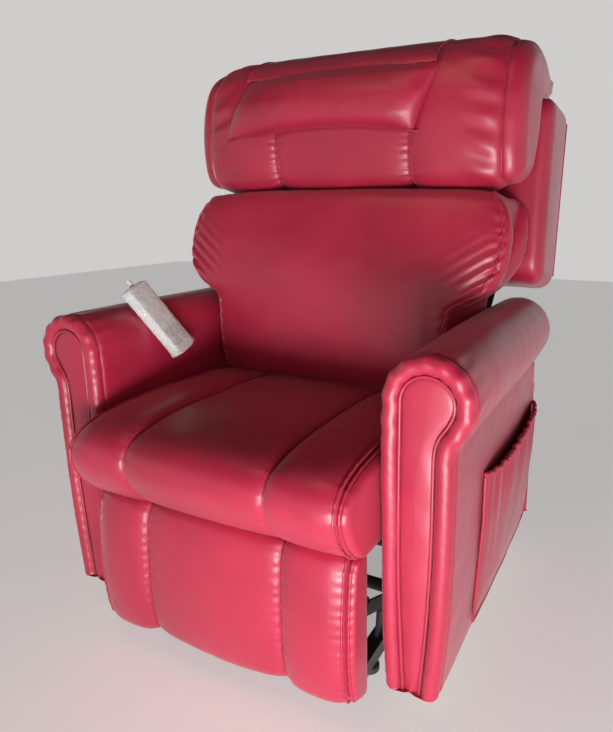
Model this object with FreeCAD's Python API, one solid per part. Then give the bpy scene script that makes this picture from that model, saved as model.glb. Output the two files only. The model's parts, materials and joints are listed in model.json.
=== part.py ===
import FreeCAD, Part
import os
from math import cos, hypot, radians, sin, sqrt

V = FreeCAD.Vector
X_AXIS, Y_AXIS = V(1, 0, 0), V(0, 1, 0)

# A lift recliner chair: one motor raises and tips the whole chair, one leans the back.
# Millimetres. +X to the right of someone standing in front of the chair, +Y back from the plane
# of the arm fronts, +Z up from the floor.
# save() moves every piece by REAR_SHIFT so that the origin is under the middle of the chair.

# ---- driving dimensions: upholstery -------------------------------------------------------
SEAT_HALF = 287.0        # half width of the seat cushion
SEAT_TOP = 448.0         # height of the seat
SEAT_THICK = 143.0
SEAT_FRONT = -84.0       # nose of the seat cushion, ahead of the arm fronts
SEAT_REAR = 338.0
SEAT_NOSE = 55.0         # rounding of the seat's front edges
SOFT_GAP = 3.0           # clearance between soft parts that move past each other

ARM_WIDTH = 114.0        # upright part of an arm
ARM_FLOOR_GAP = 70.0
ARM_REAR = 640.0
ROLL_RADIUS = 71.0       # scroll along the top of an arm
ROLL_HEIGHT = 550.0      # centre of the scroll
ARM_SKIN = 16.0          # foam and vinyl over the arm frame
ARM_FACE_DEPTH = 20.0    # front border and front panel
ARM_BORDER = 30.0        # width of the border round the front panel
PANEL_LOW = 84.0         # rear panel between the arms, below the back as it reclines
PANEL_TOP = 416.0

POCKET_FRONT = 170.0
POCKET_REAR = 600.0
POCKET_FLOOR = 100.0
POCKET_TOP = 390.0
POCKET_DEPTH = 22.0
POCKET_SKIN = 3.0

BACK_HALF = SEAT_HALF + 95   # lower back cushion and headrest, above the arms
WING_HALF = SEAT_HALF + 123  # boxed back behind the cushions
WING_FRONT_LOW = (575.0, 655.0)
WING_FRONT_TOP = (612.0, 1050.0)
WING_REAR_LOW = (763.0, 616.0)
WING_REAR_TOP = (832.0, 1042.0)
WING_SKIN = 8.0
WING_CORNER = 44.0       # rounding of the boxed back, seen from the side
BACK_CUSHION_FRONT = 345.0
BACK_CUSHION_LOW = 434.0
BACK_CUSHION_TOP = 848.0
HEADREST_LOW = 857.0
HEADREST_FRONT = 430.0
HEADREST_TOP = 1150.0
PILLOW_THICK = 30.0
PILLOW_HALF = 228.0
PILLOW_CENTRE_X = -30.0

FOOTREST_HALF = SEAT_HALF - 15
FOOTREST_TOP = 302.0
FOOTREST_LOW = 45.0
FOOTREST_FRONT = -60.0
FOOTREST_REAR = 4.0
FOOT_BOARD = 12.0
FRAME_FRONT = 24.0       # timber seat frame, clear of the folded leg rest
FRAME_DEEP = 36.0        # height of its rails
REAR_RAIL_DEEP = 24.0    # height of its rear rail, above the back actuator

# ---- driving dimensions: steel, motors, pins ----------------------------------------------
RAIL = 28.0              # base tube, square
RAIL_WALL = 2.0
RAIL_LOW = 14.0
BASE_FRONT = 60.0
BASE_REAR = 636.0
RAIL_X = SEAT_HALF - 58
FOOT_RADIUS = 19.0
PLATE = 6.0              # pivot brackets
LINK = 8.0               # lift links
LEG_LINK = 5.0
SIDE_PLATE = 4.0
PIN = 6.0                # radius of every main pin
FIT = 0.06               # radial clearance of a running pin
GAP = 1.0                # side clearance between neighbouring plates
BOARD = 18.0             # timber and plywood
SPRING_WIRE = 3.6        # zigzag seat springs
SPRING_WAVE = 20.0
SPRING_PITCH = 52.0
SPRING_COUNT = 5
LOOP_PLAY = 2.0          # radial play in the lift pivot that closes the four-bar loop

# ---- pivots, (Y, Z) ------------------------------------------------------------------------
BASE_REAR_PIVOT = (200.0, 100.0)
BASE_FRONT_PIVOT = (155.4, 89.6)
SEAT_REAR_PIVOT = (560.0, 140.0)
SEAT_FRONT_PIVOT = (450.0, 120.2)
LIFT_TAIL = (469.0, 105.0)
LIFT_HEAD = (222.0, 160.0)
LIFT_PLAY = 8.5
BACK_PIVOT = (520.0, 420.0)
BACK_TAIL = (285.0, 222.0)
BACK_HEAD = (570.0, 399.0)
BACK_PLAY = 4.6
LEG_PIVOT = (110.0, 256.0)
LEG_ARM = 203.0          # both leg links, pivot to pivot
FOOT_PIVOT = (42.0, 172.0)
MOTOR_X = 0.0            # lift actuator
BACK_MOTOR_X = 90.0      # back actuator
GEARBOX_HALF = 17.0
GEARBOX_TAIL = 12.0      # gearbox behind its tail pin
CAN_RADIUS = 19.0        # motor, beside the screw
CAN_LENGTH = 100.0
CAN_OFFSET = 44.0
TUBE_RADIUS = 17.0
SCREW_RADIUS = 10.0

REAR_SHIFT = -(SEAT_FRONT + WING_REAR_TOP[0]) / 2

# ---- places worked out from the driving dimensions -----------------------------------------
SEAT_LOW = SEAT_TOP - SEAT_THICK
ARM_INNER = SEAT_HALF + SOFT_GAP
ARM_OUTER = ARM_INNER + ARM_WIDTH
ROLL_X = ARM_INNER + ROLL_RADIUS + 1.0
LINK_OUT_X = RAIL_X + PLATE / 2 + GAP + LINK / 2     # front lift link, outside the bracket
LINK_IN_X = RAIL_X - PLATE / 2 - GAP - LINK / 2      # rear lift link, inside the bracket
SIDE_PLATE_X = SEAT_HALF - 20.0                      # chassis side plate, middle plane
LEG_IN_X = SIDE_PLATE_X - SIDE_PLATE / 2 - GAP - LEG_LINK / 2
LEG_OUT_X = LEG_IN_X - LEG_LINK - GAP
FOOT_BRACKET_X = LEG_OUT_X - LEG_LINK / 2 - GAP - SIDE_PLATE / 2
FRAME_TOP = SEAT_LOW - GAP
FRAME_LOW = FRAME_TOP - FRAME_DEEP


def save(name, *solids):
    # one node: a single solid, or a group of separate solids
    shape = solids[0] if len(solids) == 1 else Part.makeCompound(list(solids))
    shape = shape.copy()
    shape.translate(V(0, REAR_SHIFT, 0))
    shape.exportStep("parts/" + name + ".step")


def box(x0, x1, y0, y1, z0, z1):
    return Part.makeBox(x1 - x0, y1 - y0, z1 - z0, V(x0, y0, z0))


def rod_x(at, radius, x0, x1):
    return Part.makeCylinder(radius, x1 - x0, V(x0, at[0], at[1]), X_AXIS)


def ring_x(at, outer, inner, x0, x1):
    return rod_x(at, outer, x0, x1).cut(rod_x(at, inner, x0 - 1, x1 + 1))


def side_shape(outline, x0, x1, rounding=None):
    # an outline of (Y, Z) points, as thick as x0 to x1
    points = [V(x0, y, z) for y, z in outline]
    face = Part.Face(Part.makePolygon(points + points[:1]))
    solid = face.extrude(V(x1 - x0, 0, 0))
    if rounding:
        along_x = [e for e in solid.Edges if abs(e.tangentAt(e.FirstParameter).x) > 0.99]
        solid = solid.makeFillet(rounding, along_x)
    return solid


def mirrored(shape):
    return shape.mirror(V(0, 0, 0), X_AXIS)


def pair(shape):
    return [shape, mirrored(shape)]


def link(a, b, half_width, thick, x, hole_a, hole_b):
    # a flat bar between two pivots, round at both ends, with a hole at each
    x0, x1 = x - thick / 2, x + thick / 2
    length = hypot(b[0] - a[0], b[1] - a[1])
    ny, nz = -(b[1] - a[1]) / length * half_width, (b[0] - a[0]) / length * half_width
    middle = side_shape([(a[0] + ny, a[1] + nz), (b[0] + ny, b[1] + nz),
                         (b[0] - ny, b[1] - nz), (a[0] - ny, a[1] - nz)], x0, x1)
    bar = middle.fuse([rod_x(a, half_width, x0, x1), rod_x(b, half_width, x0, x1)])
    bar = bar.removeSplitter()
    for at, hole in ((a, hole_a), (b, hole_b)):
        if hole:
            bar = bar.cut(rod_x(at, hole, x0 - 1, x1 + 1))
    return bar


def headed_pin(at, plain_end, head_end, radius=PIN, head=10.0, head_thick=3.0):
    # a pin along X from its plain end to its head
    shank = rod_x(at, radius, min(plain_end, head_end), max(plain_end, head_end))
    tip = head_end + (head_thick if head_end > plain_end else -head_thick)
    return shank.fuse(rod_x(at, head, min(head_end, tip), max(head_end, tip))).removeSplitter()


def along(a, b, distance):
    # the point on the line from a through b, this far from a
    length = hypot(b[0] - a[0], b[1] - a[1])
    return (a[0] + (b[0] - a[0]) * distance / length, a[1] + (b[1] - a[1]) * distance / length)


def bar_between(a, b, radius, x, hollow=0.0):
    start, end = V(x, a[0], a[1]), V(x, b[0], b[1])
    length = (end - start).Length
    bar = Part.makeCylinder(radius, length, start, end - start)
    if hollow:
        bar = bar.cut(Part.makeCylinder(hollow, length, start, end - start))
    return bar


def leg_elbow():
    # both leg links are the same length; the elbow folds back under the seat
    dy, dz = FOOT_PIVOT[0] - LEG_PIVOT[0], FOOT_PIVOT[1] - LEG_PIVOT[1]
    reach = hypot(dy, dz)
    rise = sqrt(LEG_ARM ** 2 - (reach / 2) ** 2)
    return (LEG_PIVOT[0] + dy / 2 - dz / reach * rise, LEG_PIVOT[1] + dz / 2 + dy / reach * rise)


LEG_ELBOW = leg_elbow()


# ---- base ----------------------------------------------------------------------------------
def base_frame():
    top = RAIL_LOW + RAIL
    rail = box(RAIL_X - RAIL / 2, RAIL_X + RAIL / 2, BASE_FRONT, BASE_REAR, RAIL_LOW, top)
    bore = box(RAIL_X - RAIL / 2 + RAIL_WALL, RAIL_X + RAIL / 2 - RAIL_WALL, BASE_FRONT - 1,
               BASE_REAR + 1, RAIL_LOW + RAIL_WALL, top - RAIL_WALL)
    save("base_side_rails", *pair(rail.cut(bore)))
    half = RAIL_X - RAIL / 2
    tubes = []
    for y in (BASE_FRONT + 4, LIFT_TAIL[0] - RAIL / 2, BASE_REAR - RAIL - 4):
        tube = box(-half, half, y, y + RAIL, RAIL_LOW, top)
        tubes.append(tube.cut(box(-half - 1, half + 1, y + RAIL_WALL, y + RAIL - RAIL_WALL,
                                  RAIL_LOW + RAIL_WALL, top - RAIL_WALL)))
    lug = side_shape([(LIFT_TAIL[0] - 13, top), (LIFT_TAIL[0] + 13, top),
                      (LIFT_TAIL[0] + 13, LIFT_TAIL[1]), (LIFT_TAIL[0] - 13, LIFT_TAIL[1])],
                     MOTOR_X + 23, MOTOR_X + 27)
    lug = lug.fuse(rod_x(LIFT_TAIL, 13, MOTOR_X + 23, MOTOR_X + 27)).removeSplitter()
    lug = lug.cut(rod_x(LIFT_TAIL, PIN + FIT, MOTOR_X + 22, MOTOR_X + 28))
    other = lug.copy()
    other.translate(V(-50, 0, 0))
    tubes[1] = tubes[1].fuse([lug, other]).removeSplitter()
    save("base_cross_tubes", *tubes)
    feet = []
    for x in (-RAIL_X, RAIL_X):
        for y in (BASE_FRONT + 40, BASE_REAR - 40):
            foot = Part.makeCylinder(FOOT_RADIUS, RAIL_LOW - 4, V(x, y, 0))
            foot = foot.makeFillet(2.5, [foot.Edges[0]])
            feet.append(foot.fuse(Part.makeCylinder(9, 4, V(x, y, RAIL_LOW - 4))).removeSplitter())
    save("base_feet", *feet)
    bracket = side_shape([(130, top), (226, top), (218, 118), (186, 118), (140, 104)],
                         RAIL_X - PLATE / 2, RAIL_X + PLATE / 2)
    for at in (BASE_REAR_PIVOT, BASE_FRONT_PIVOT):
        bracket = bracket.cut(rod_x(at, PIN + FIT, RAIL_X - PLATE, RAIL_X + PLATE))
    save("base_pivot_brackets", *pair(bracket))


def power_unit():
    low = RAIL_LOW + RAIL
    case = box(-90, 90, BASE_REAR - 76, BASE_REAR - 6, low, low + 48)
    case = case.makeFillet(5, case.Edges)
    socket_cut = box(-62, -36, BASE_REAR - 20, BASE_REAR, low + 12, low + 32)
    save("power_unit", case.cut(socket_cut))
    inlet = box(-61.5, -36.5, BASE_REAR - 20, BASE_REAR - 4, low + 12.5, low + 31.5)
    mouth = box(-57, -41, BASE_REAR - 16, BASE_REAR, low + 16, low + 28)
    pins = [Part.makeCylinder(1.5, 9, V(x, BASE_REAR - 16.5, low + 22), Y_AXIS) for x in (-53, -45)]
    save("power_inlet", inlet.cut(mouth).fuse(pins))


# ---- lift linkage --------------------------------------------------------------------------
def lift_links():
    rear = link(BASE_REAR_PIVOT, SEAT_REAR_PIVOT, 13, LINK, LINK_IN_X, PIN, PIN)
    save("lift_rear_arms", *pair(rear))
    inner = LINK_IN_X - LINK / 2
    tube = ring_x(BASE_REAR_PIVOT, 12, 9.5, -inner, inner)
    levers = []
    for x in (MOTOR_X - 25, MOTOR_X + 25):
        lever = link(BASE_REAR_PIVOT, LIFT_HEAD, 20, 4, x, None, PIN + LIFT_PLAY)
        levers.append(lever.cut(rod_x(BASE_REAR_PIVOT, 11, x - 5, x + 5)))
    save("lift_torque_tube", tube.fuse(levers).removeSplitter())
    outer = RAIL_X + PLATE / 2
    pins = pair(rod_x(BASE_REAR_PIVOT, PIN, inner, outer))
    pins += pair(headed_pin(SEAT_REAR_PIVOT, outer, inner))
    save("lift_rear_pins", *pins)
    bar = link(BASE_FRONT_PIVOT, SEAT_FRONT_PIVOT, 10, LINK, LINK_OUT_X, None, None)
    for at in (BASE_FRONT_PIVOT, SEAT_FRONT_PIVOT):
        bar = bar.fuse(headed_pin(at, RAIL_X - PLATE / 2, LINK_OUT_X + LINK / 2, head_thick=2.5))
    save("lift_front_arms", *pair(bar.removeSplitter()))


def actuator(name, tail, head, x, can_side, rod_length, tube_start, tube_end):
    # an electric screw actuator: gearbox and motor at the tail, then an outer tube and a rod
    reach = hypot(head[0] - tail[0], head[1] - tail[1])
    ny, nz = -(head[1] - tail[1]) / reach, (head[0] - tail[0]) / reach
    gear_a, gear_b = along(tail, head, -GEARBOX_TAIL), along(tail, head, tube_start)
    corners = [(p[0] + side * GEARBOX_HALF * ny, p[1] + side * GEARBOX_HALF * nz)
               for p, side in ((gear_a, 1), (gear_b, 1), (gear_b, -1), (gear_a, -1))]
    gearbox = side_shape(corners, x - CAN_RADIUS, x + CAN_RADIUS, 5)
    off = can_side * CAN_OFFSET
    can_a = along(tail, head, -5)
    can_b = along(tail, head, CAN_LENGTH - 5)
    can = bar_between((can_a[0] + off * ny, can_a[1] + off * nz),
                      (can_b[0] + off * ny, can_b[1] + off * nz), CAN_RADIUS, x)
    neck_a, neck_b = along(tail, head, 0), along(tail, head, tube_start - 4)
    neck = side_shape([(neck_a[0], neck_a[1]), (neck_b[0], neck_b[1]),
                       (neck_b[0] + off * ny, neck_b[1] + off * nz),
                       (neck_a[0] + off * ny, neck_a[1] + off * nz)], x - 12, x + 12)
    motor = gearbox.fuse([can, neck, rod_x(tail, PIN, x - 28, x + 28)]).removeSplitter()
    save(name + "_motor", motor)
    tube = bar_between(gear_b, along(tail, head, tube_end), TUBE_RADIUS, x, TUBE_RADIUS - 3)
    collar = bar_between(along(tail, head, tube_end - 12), along(tail, head, tube_end),
                         TUBE_RADIUS + 2, x, SCREW_RADIUS + 0.5)
    save(name + "_actuator_tube", tube.fuse(collar).removeSplitter())
    rod = bar_between(along(tail, head, reach - rod_length), along(tail, head, reach - 10),
                      SCREW_RADIUS, x)
    eye = rod_x(head, 15, x - 12, x + 12)
    rod = rod.fuse([eye, rod_x(head, PIN, x - 29, x + 29)]).removeSplitter()
    save(name + "_actuator_rod", rod)


# ---- chassis: the steel and timber that the seat, arms and back stand on -------------------
CROSS_TUBES = ((BACK_TAIL[0], BACK_TAIL[1] - 36), (440.0, 215.0), (540.0, 215.0))
CROSS_RADIUS = 12.0


def chassis():
    x0, x1 = SIDE_PLATE_X - SIDE_PLATE / 2, SIDE_PLATE_X + SIDE_PLATE / 2
    plate = side_shape([(84, 238), (270, 162), (580, 186), (580, 250), (548, 444), (494, 444),
                        (470, FRAME_TOP - 4), (84, 282)], x0, x1, 8)
    for at in (LEG_PIVOT, BACK_PIVOT):
        plate = plate.cut(rod_x(at, PIN, x0 - 1, x1 + 1))
    for at in CROSS_TUBES:
        plate = plate.cut(rod_x(at, CROSS_RADIUS, x0 - 1, x1 + 1))
    save("chassis_side_plates", *pair(plate))
    hang_0, hang_1 = RAIL_X - PLATE / 2, RAIL_X + PLATE / 2
    hanger = side_shape([(430, 106), (462, 100), (580, 120), (584, 156), (562, 240), (418, 240)],
                        hang_0, hang_1)
    hanger = hanger.cut(rod_x(SEAT_REAR_PIVOT, PIN + FIT, hang_0 - 1, hang_1 + 1))
    hanger = hanger.cut(rod_x(SEAT_FRONT_PIVOT, PIN + LOOP_PLAY, hang_0 - 1, hang_1 + 1))
    for at in CROSS_TUBES[1:]:
        hanger = hanger.cut(rod_x(at, CROSS_RADIUS, hang_0 - 1, hang_1 + 1))
    save("lift_hangers", *pair(hanger))
    tubes = [ring_x(at, CROSS_RADIUS, CROSS_RADIUS - 2, -x1, x1) for at in CROSS_TUBES]
    ears = []
    for x in (BACK_MOTOR_X - 25, BACK_MOTOR_X + 25):
        ear = link(CROSS_TUBES[0], BACK_TAIL, 12, 4, x, None, PIN + FIT)
        ears.append(ear.cut(rod_x(CROSS_TUBES[0], CROSS_RADIUS - 1, x - 5, x + 5)))
    tubes[0] = tubes[0].fuse(ears).removeSplitter()
    save("chassis_cross_tubes", *tubes)
    shelves = [box(SEAT_RAIL_X - BOARD, x0, y, y + 32, FRAME_LOW - 4, FRAME_LOW)
               for y in (150, SEAT_REAR - 38)]
    spacers = [box(x1, ARM_INNER, y, y + 40, 196, 232) for y in (200, 470)]
    save("chassis_brackets", *[half for part in shelves + spacers for half in pair(part)])
    pins = [headed_pin(LEG_PIVOT, LEG_IN_X - LEG_LINK / 2, x1, head_thick=2.5)]
    pins.append(headed_pin(BACK_PIVOT, BACK_BRACKET_X - SIDE_PLATE / 2, x1, head_thick=2.5))
    save("chassis_pivot_pins", *[half for pin in pins for half in pair(pin)])


SEAT_RAIL_X = FOOT_BRACKET_X - SIDE_PLATE / 2 - GAP
BACK_BRACKET_X = SIDE_PLATE_X - SIDE_PLATE - 2 * GAP


def seat():
    front, rear = FRAME_FRONT, SEAT_REAR - 2
    inner = SEAT_RAIL_X - BOARD
    rails = pair(box(inner, SEAT_RAIL_X, front, rear, FRAME_LOW, FRAME_TOP))
    rails.append(box(-inner, inner, front, front + BOARD, FRAME_LOW, FRAME_TOP))
    rails.append(box(-inner, inner, rear - BOARD, rear, FRAME_TOP - REAR_RAIL_DEEP, FRAME_TOP))
    save("seat_frame", *rails)
    springs = []
    half, step = SPRING_WIRE / 2, SPRING_PITCH / 2
    z0, z1 = FRAME_TOP - 10, FRAME_TOP - 10 + SPRING_WIRE
    for i in range(SPRING_COUNT):
        x = (i - (SPRING_COUNT - 1) / 2) * inner * 2 / (SPRING_COUNT + 0.6)
        start, end, bars = front + BOARD, rear - BOARD, []
        runs = int((end - start) / step)
        for run in range(runs):
            y0 = start + (end - start) * run / runs
            y1 = start + (end - start) * (run + 1) / runs
            at = x + (SPRING_WAVE if run % 2 else -SPRING_WAVE)
            bars.append(box(at - half, at + half, y0, y1, z0, z1))
            if run:
                bars.append(box(x - SPRING_WAVE - half, x + SPRING_WAVE + half, y0 - half, y0 + half,
                                z0, z1))
        springs.append(bars[0].fuse(bars[1:]).removeSplitter())
    save("seat_springs", *springs)
    outline = [(SEAT_REAR, SEAT_LOW), (SEAT_REAR, SEAT_TOP), (SEAT_FRONT + SEAT_NOSE, SEAT_TOP),
               (SEAT_FRONT + 6, SEAT_TOP - 26), (SEAT_FRONT, SEAT_TOP - 50),
               (SEAT_FRONT + 18, SEAT_LOW + 34), (SEAT_FRONT + 50, SEAT_LOW)]
    save("seat_cushion", side_shape(outline, -SEAT_HALF, SEAT_HALF, 8))


# ---- arms ----------------------------------------------------------------------------------
def arm_section(inset, y0, y1, low):
    # upright with a scroll along its top, set in all round by inset
    radius = ROLL_RADIUS - inset
    left, right = ROLL_X - radius, ARM_OUTER - inset
    neck = ROLL_HEIGHT - sqrt(radius ** 2 - (right - ROLL_X) ** 2)
    a, b = V(left, y0, ROLL_HEIGHT), V(right, y0, neck)
    top = Part.Arc(a, V(ROLL_X, y0, ROLL_HEIGHT + radius), b).toShape()
    c, d = V(right, y0, low), V(left, y0, low)
    edges = [top] + [Part.LineSegment(p, q).toShape() for p, q in ((b, c), (c, d), (d, a))]
    return Part.Face(Part.Wire(edges)).extrude(V(0, y1 - y0, 0))


def arms():
    low = ARM_FLOOR_GAP
    cover = arm_section(0, ARM_FACE_DEPTH, ARM_REAR, low)
    cover = cover.cut(arm_section(ARM_SKIN, ARM_FACE_DEPTH + ARM_SKIN, ARM_REAR - ARM_SKIN, low - 1))
    border = arm_section(0, 0, ARM_FACE_DEPTH, low)
    border = border.cut(arm_section(ARM_BORDER, -1, ARM_FACE_DEPTH + 1, low - 1))
    panel = arm_section(ARM_BORDER + 0.3, 2, ARM_FACE_DEPTH, low)
    left, right = ROLL_X - ROLL_RADIUS + ARM_SKIN + 1, ARM_OUTER - ARM_SKIN - 1
    front, rear = ARM_FACE_DEPTH + ARM_SKIN + 1, ARM_REAR - ARM_SKIN - 1
    board = BOARD * 2 / 3
    top = ROLL_HEIGHT - 10
    boards = [box(left, left + board, front, rear, low + BOARD, top),
              box(right - board, right, front, rear, low + BOARD, ROLL_HEIGHT - ROLL_RADIUS + ARM_SKIN),
              box(left, right, front, rear, low, low + BOARD)]
    for y in (front, rear - BOARD):
        boards.append(box(left + board, right - board, y, y + BOARD, low + BOARD, top))
    boards.append(box(left + board, right - board, front + BOARD, rear - BOARD, top - BOARD, top))
    for side, flip in (("right", False), ("left", True)):
        parts = (("arm_cover", [cover]), ("arm_front_border", [border]),
                 ("arm_front_panel", [panel]), ("arm_frame", boards))
        for name, solids in parts:
            save(side + "_" + name, *[mirrored(s) if flip else s for s in solids])
    x0, x1 = ARM_OUTER, ARM_OUTER + POCKET_DEPTH
    pocket = box(x0, x1, POCKET_FRONT, POCKET_REAR, POCKET_FLOOR, POCKET_TOP)
    save("side_pocket", pocket.cut(box(x0 - 1, x1 - POCKET_SKIN, POCKET_FRONT + POCKET_SKIN,
                                       POCKET_REAR - POCKET_SKIN, POCKET_FLOOR + POCKET_SKIN,
                                       POCKET_TOP + 1)))
    save("rear_panel", box(-ARM_OUTER + 4, ARM_OUTER - 4, ARM_REAR + 1, ARM_REAR + 7,
                           PANEL_LOW, PANEL_TOP))


# ---- back ----------------------------------------------------------------------------------
STILE_LOW = (520.0, 434.0)
STILE_TOP = (650.0, 1034.0)
STILE_DEPTH = 44.0
BACK_TUBE = (552.0, 427.0)     # torque tube across the foot of the back
DUST_COVER_FRONT = 575.0


def stile_point(z, across=0.0):
    share = (z - STILE_LOW[1]) / (STILE_TOP[1] - STILE_LOW[1])
    return (STILE_LOW[0] + share * (STILE_TOP[0] - STILE_LOW[0]) + across, z)


def back():
    half = STILE_DEPTH / 2
    x1 = BACK_BRACKET_X - SIDE_PLATE / 2
    x0 = x1 - BOARD
    stile = side_shape([stile_point(STILE_LOW[1], -half), stile_point(STILE_TOP[1], -half),
                        stile_point(STILE_TOP[1], half), stile_point(STILE_LOW[1], half)], x0, x1)
    boards = pair(stile)
    for z in (480.0, 800.0, STILE_TOP[1] - 70):
        boards.append(side_shape([stile_point(z, -half), stile_point(z + 60, -half),
                                  stile_point(z + 60, -half + BOARD), stile_point(z, -half + BOARD)],
                                 -x0, x0))
    skin = WING_SKIN + 2
    wing_x = WING_HALF - skin
    wing = [(WING_FRONT_LOW[0] + skin + 4, WING_FRONT_LOW[1] + skin),
            (WING_FRONT_TOP[0] + skin, WING_FRONT_TOP[1] - skin - 2),
            (WING_REAR_TOP[0] - skin, WING_REAR_TOP[1] - skin - 2),
            (WING_REAR_LOW[0] - skin, WING_REAR_LOW[1] + skin + 2)]
    boards += pair(side_shape(wing, wing_x - BOARD, wing_x, WING_CORNER))
    for z in (700.0, 960.0):
        boards += pair(side_shape([stile_point(z, half), stile_point(z + 50, half),
                                   stile_point(z + 50, half + BOARD), stile_point(z, half + BOARD)],
                                  x0, wing_x - BOARD))
    save("back_frame", *boards)
    bracket = side_shape([(500, 402), (562, 402), stile_point(640, half), stile_point(640, -half)],
                         BACK_BRACKET_X - SIDE_PLATE / 2, BACK_BRACKET_X + SIDE_PLATE / 2)
    save("back_brackets", *pair(bracket.cut(rod_x(BACK_PIVOT, PIN + FIT, BACK_BRACKET_X - 9,
                                                  BACK_BRACKET_X + 9))))
    straps = []
    for i in range(6):
        z = 560 + i * 36.0
        straps.append(side_shape([stile_point(z, -half - 1.5), stile_point(z + 24, -half - 1.5),
                                  stile_point(z + 24, -half), stile_point(z, -half)], -x1, x1))
    save("back_webbing", *straps)
    outline = [WING_FRONT_LOW, WING_FRONT_TOP, WING_REAR_TOP, WING_REAR_LOW]
    cover = side_shape(outline, -WING_HALF, WING_HALF, WING_CORNER)
    hollow = [(WING_FRONT_LOW[0] + WING_SKIN + 2, WING_FRONT_LOW[1] + WING_SKIN - 1),
              (WING_FRONT_TOP[0] + WING_SKIN, WING_FRONT_TOP[1] - WING_SKIN),
              (WING_REAR_TOP[0] - WING_SKIN, WING_REAR_TOP[1] - WING_SKIN),
              (WING_REAR_LOW[0] - WING_SKIN, WING_REAR_LOW[1] + WING_SKIN)]
    cover = cover.cut(side_shape(hollow, -WING_HALF + WING_SKIN, WING_HALF - WING_SKIN,
                                 WING_CORNER / 2))
    mouth = [(WING_FRONT_LOW[0] - 60, WING_REAR_LOW[1] - 30), (WING_FRONT_LOW[0] - 60, 1020),
             (WING_FRONT_TOP[0] + 30, 1020), (WING_FRONT_LOW[0] + 45, 700),
             (WING_REAR_LOW[0] - 40, 680), (WING_REAR_LOW[0] - 40, WING_REAR_LOW[1] - 30)]
    cover = cover.cut(side_shape(mouth, -ARM_INNER - 20, ARM_INNER + 20))
    save("back_wing_cover", cover)
    wide_low = WING_FRONT_LOW[1] + 13
    narrow = side_shape([(BACK_CUSHION_FRONT, BACK_CUSHION_LOW), (BACK_CUSHION_FRONT + 9, wide_low + 20),
                         (BACK_CUSHION_FRONT + 180, wide_low + 20), (480, BACK_CUSHION_LOW)],
                        -SEAT_HALF + 2, SEAT_HALF - 2, 12)
    wide = side_shape([(BACK_CUSHION_FRONT + 10, wide_low), (BACK_CUSHION_FRONT + 52, BACK_CUSHION_TOP),
                       (582, BACK_CUSHION_TOP), (543, wide_low)], -BACK_HALF, BACK_HALF, 12)
    save("lower_back_cushion", narrow.fuse(wide).removeSplitter())
    top = HEADREST_TOP
    headrest = side_shape([(HEADREST_FRONT + 40, HEADREST_LOW), (HEADREST_FRONT + 4, HEADREST_LOW + 50),
                           (HEADREST_FRONT, HEADREST_LOW + 100), (HEADREST_FRONT + 28, top - 88),
                           (HEADREST_FRONT + 84, top - 20), (600, top), (690, top - 28),
                           (750, top - 72), (750, top - 94), (610, top - 94), (584, HEADREST_LOW)], -BACK_HALF, BACK_HALF, 5)
    save("headrest_cushion", headrest)
    tube_at = BACK_TUBE
    tube = ring_x(tube_at, 10, 8, -x1, x1)
    ears = []
    for x in (BACK_MOTOR_X - 25, BACK_MOTOR_X + 25):
        ear = link(tube_at, BACK_HEAD, 15, 4, x, None, PIN + BACK_PLAY)
        ears.append(ear.cut(rod_x(tube_at, 9, x - 5, x + 5)))
    save("back_torque_tube", tube.fuse(ears).removeSplitter())
    slope = [(WING_REAR_LOW[0] - 42, WING_REAR_LOW[1] + 4), (WING_REAR_LOW[0] - 42, WING_REAR_LOW[1] + 7),
             (DUST_COVER_FRONT, 487), (DUST_COVER_FRONT, 484)]
    save("back_dust_cover", side_shape(slope, -SEAT_HALF + 6, SEAT_HALF - 6))


def head_pillow():
    thick, top = PILLOW_THICK, HEADREST_TOP
    x0, x1 = PILLOW_CENTRE_X - PILLOW_HALF, PILLOW_CENTRE_X + PILLOW_HALF
    front = HEADREST_FRONT - 1.5
    pillow = side_shape([(front, top - 188), (front - thick, top - 178), (front - thick + 6, top - 110),
                         (front + 12, top - 52), (front + 44, top - 44), (front + 16, top - 94)],
                        x0, x1, 3)
    save("head_pillow", pillow)
    over = top + 1.5
    flap = side_shape([(front + 46, top - 42), (front + 84, over - 19), (600, over),
                       (690, over - 27.6), (692, over - 24.6), (600, over + 3),
                       (front + 82, over - 16), (front + 42, top - 42)], x0 + 12, x1 - 12)
    save("head_pillow_flap", flap)


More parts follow.
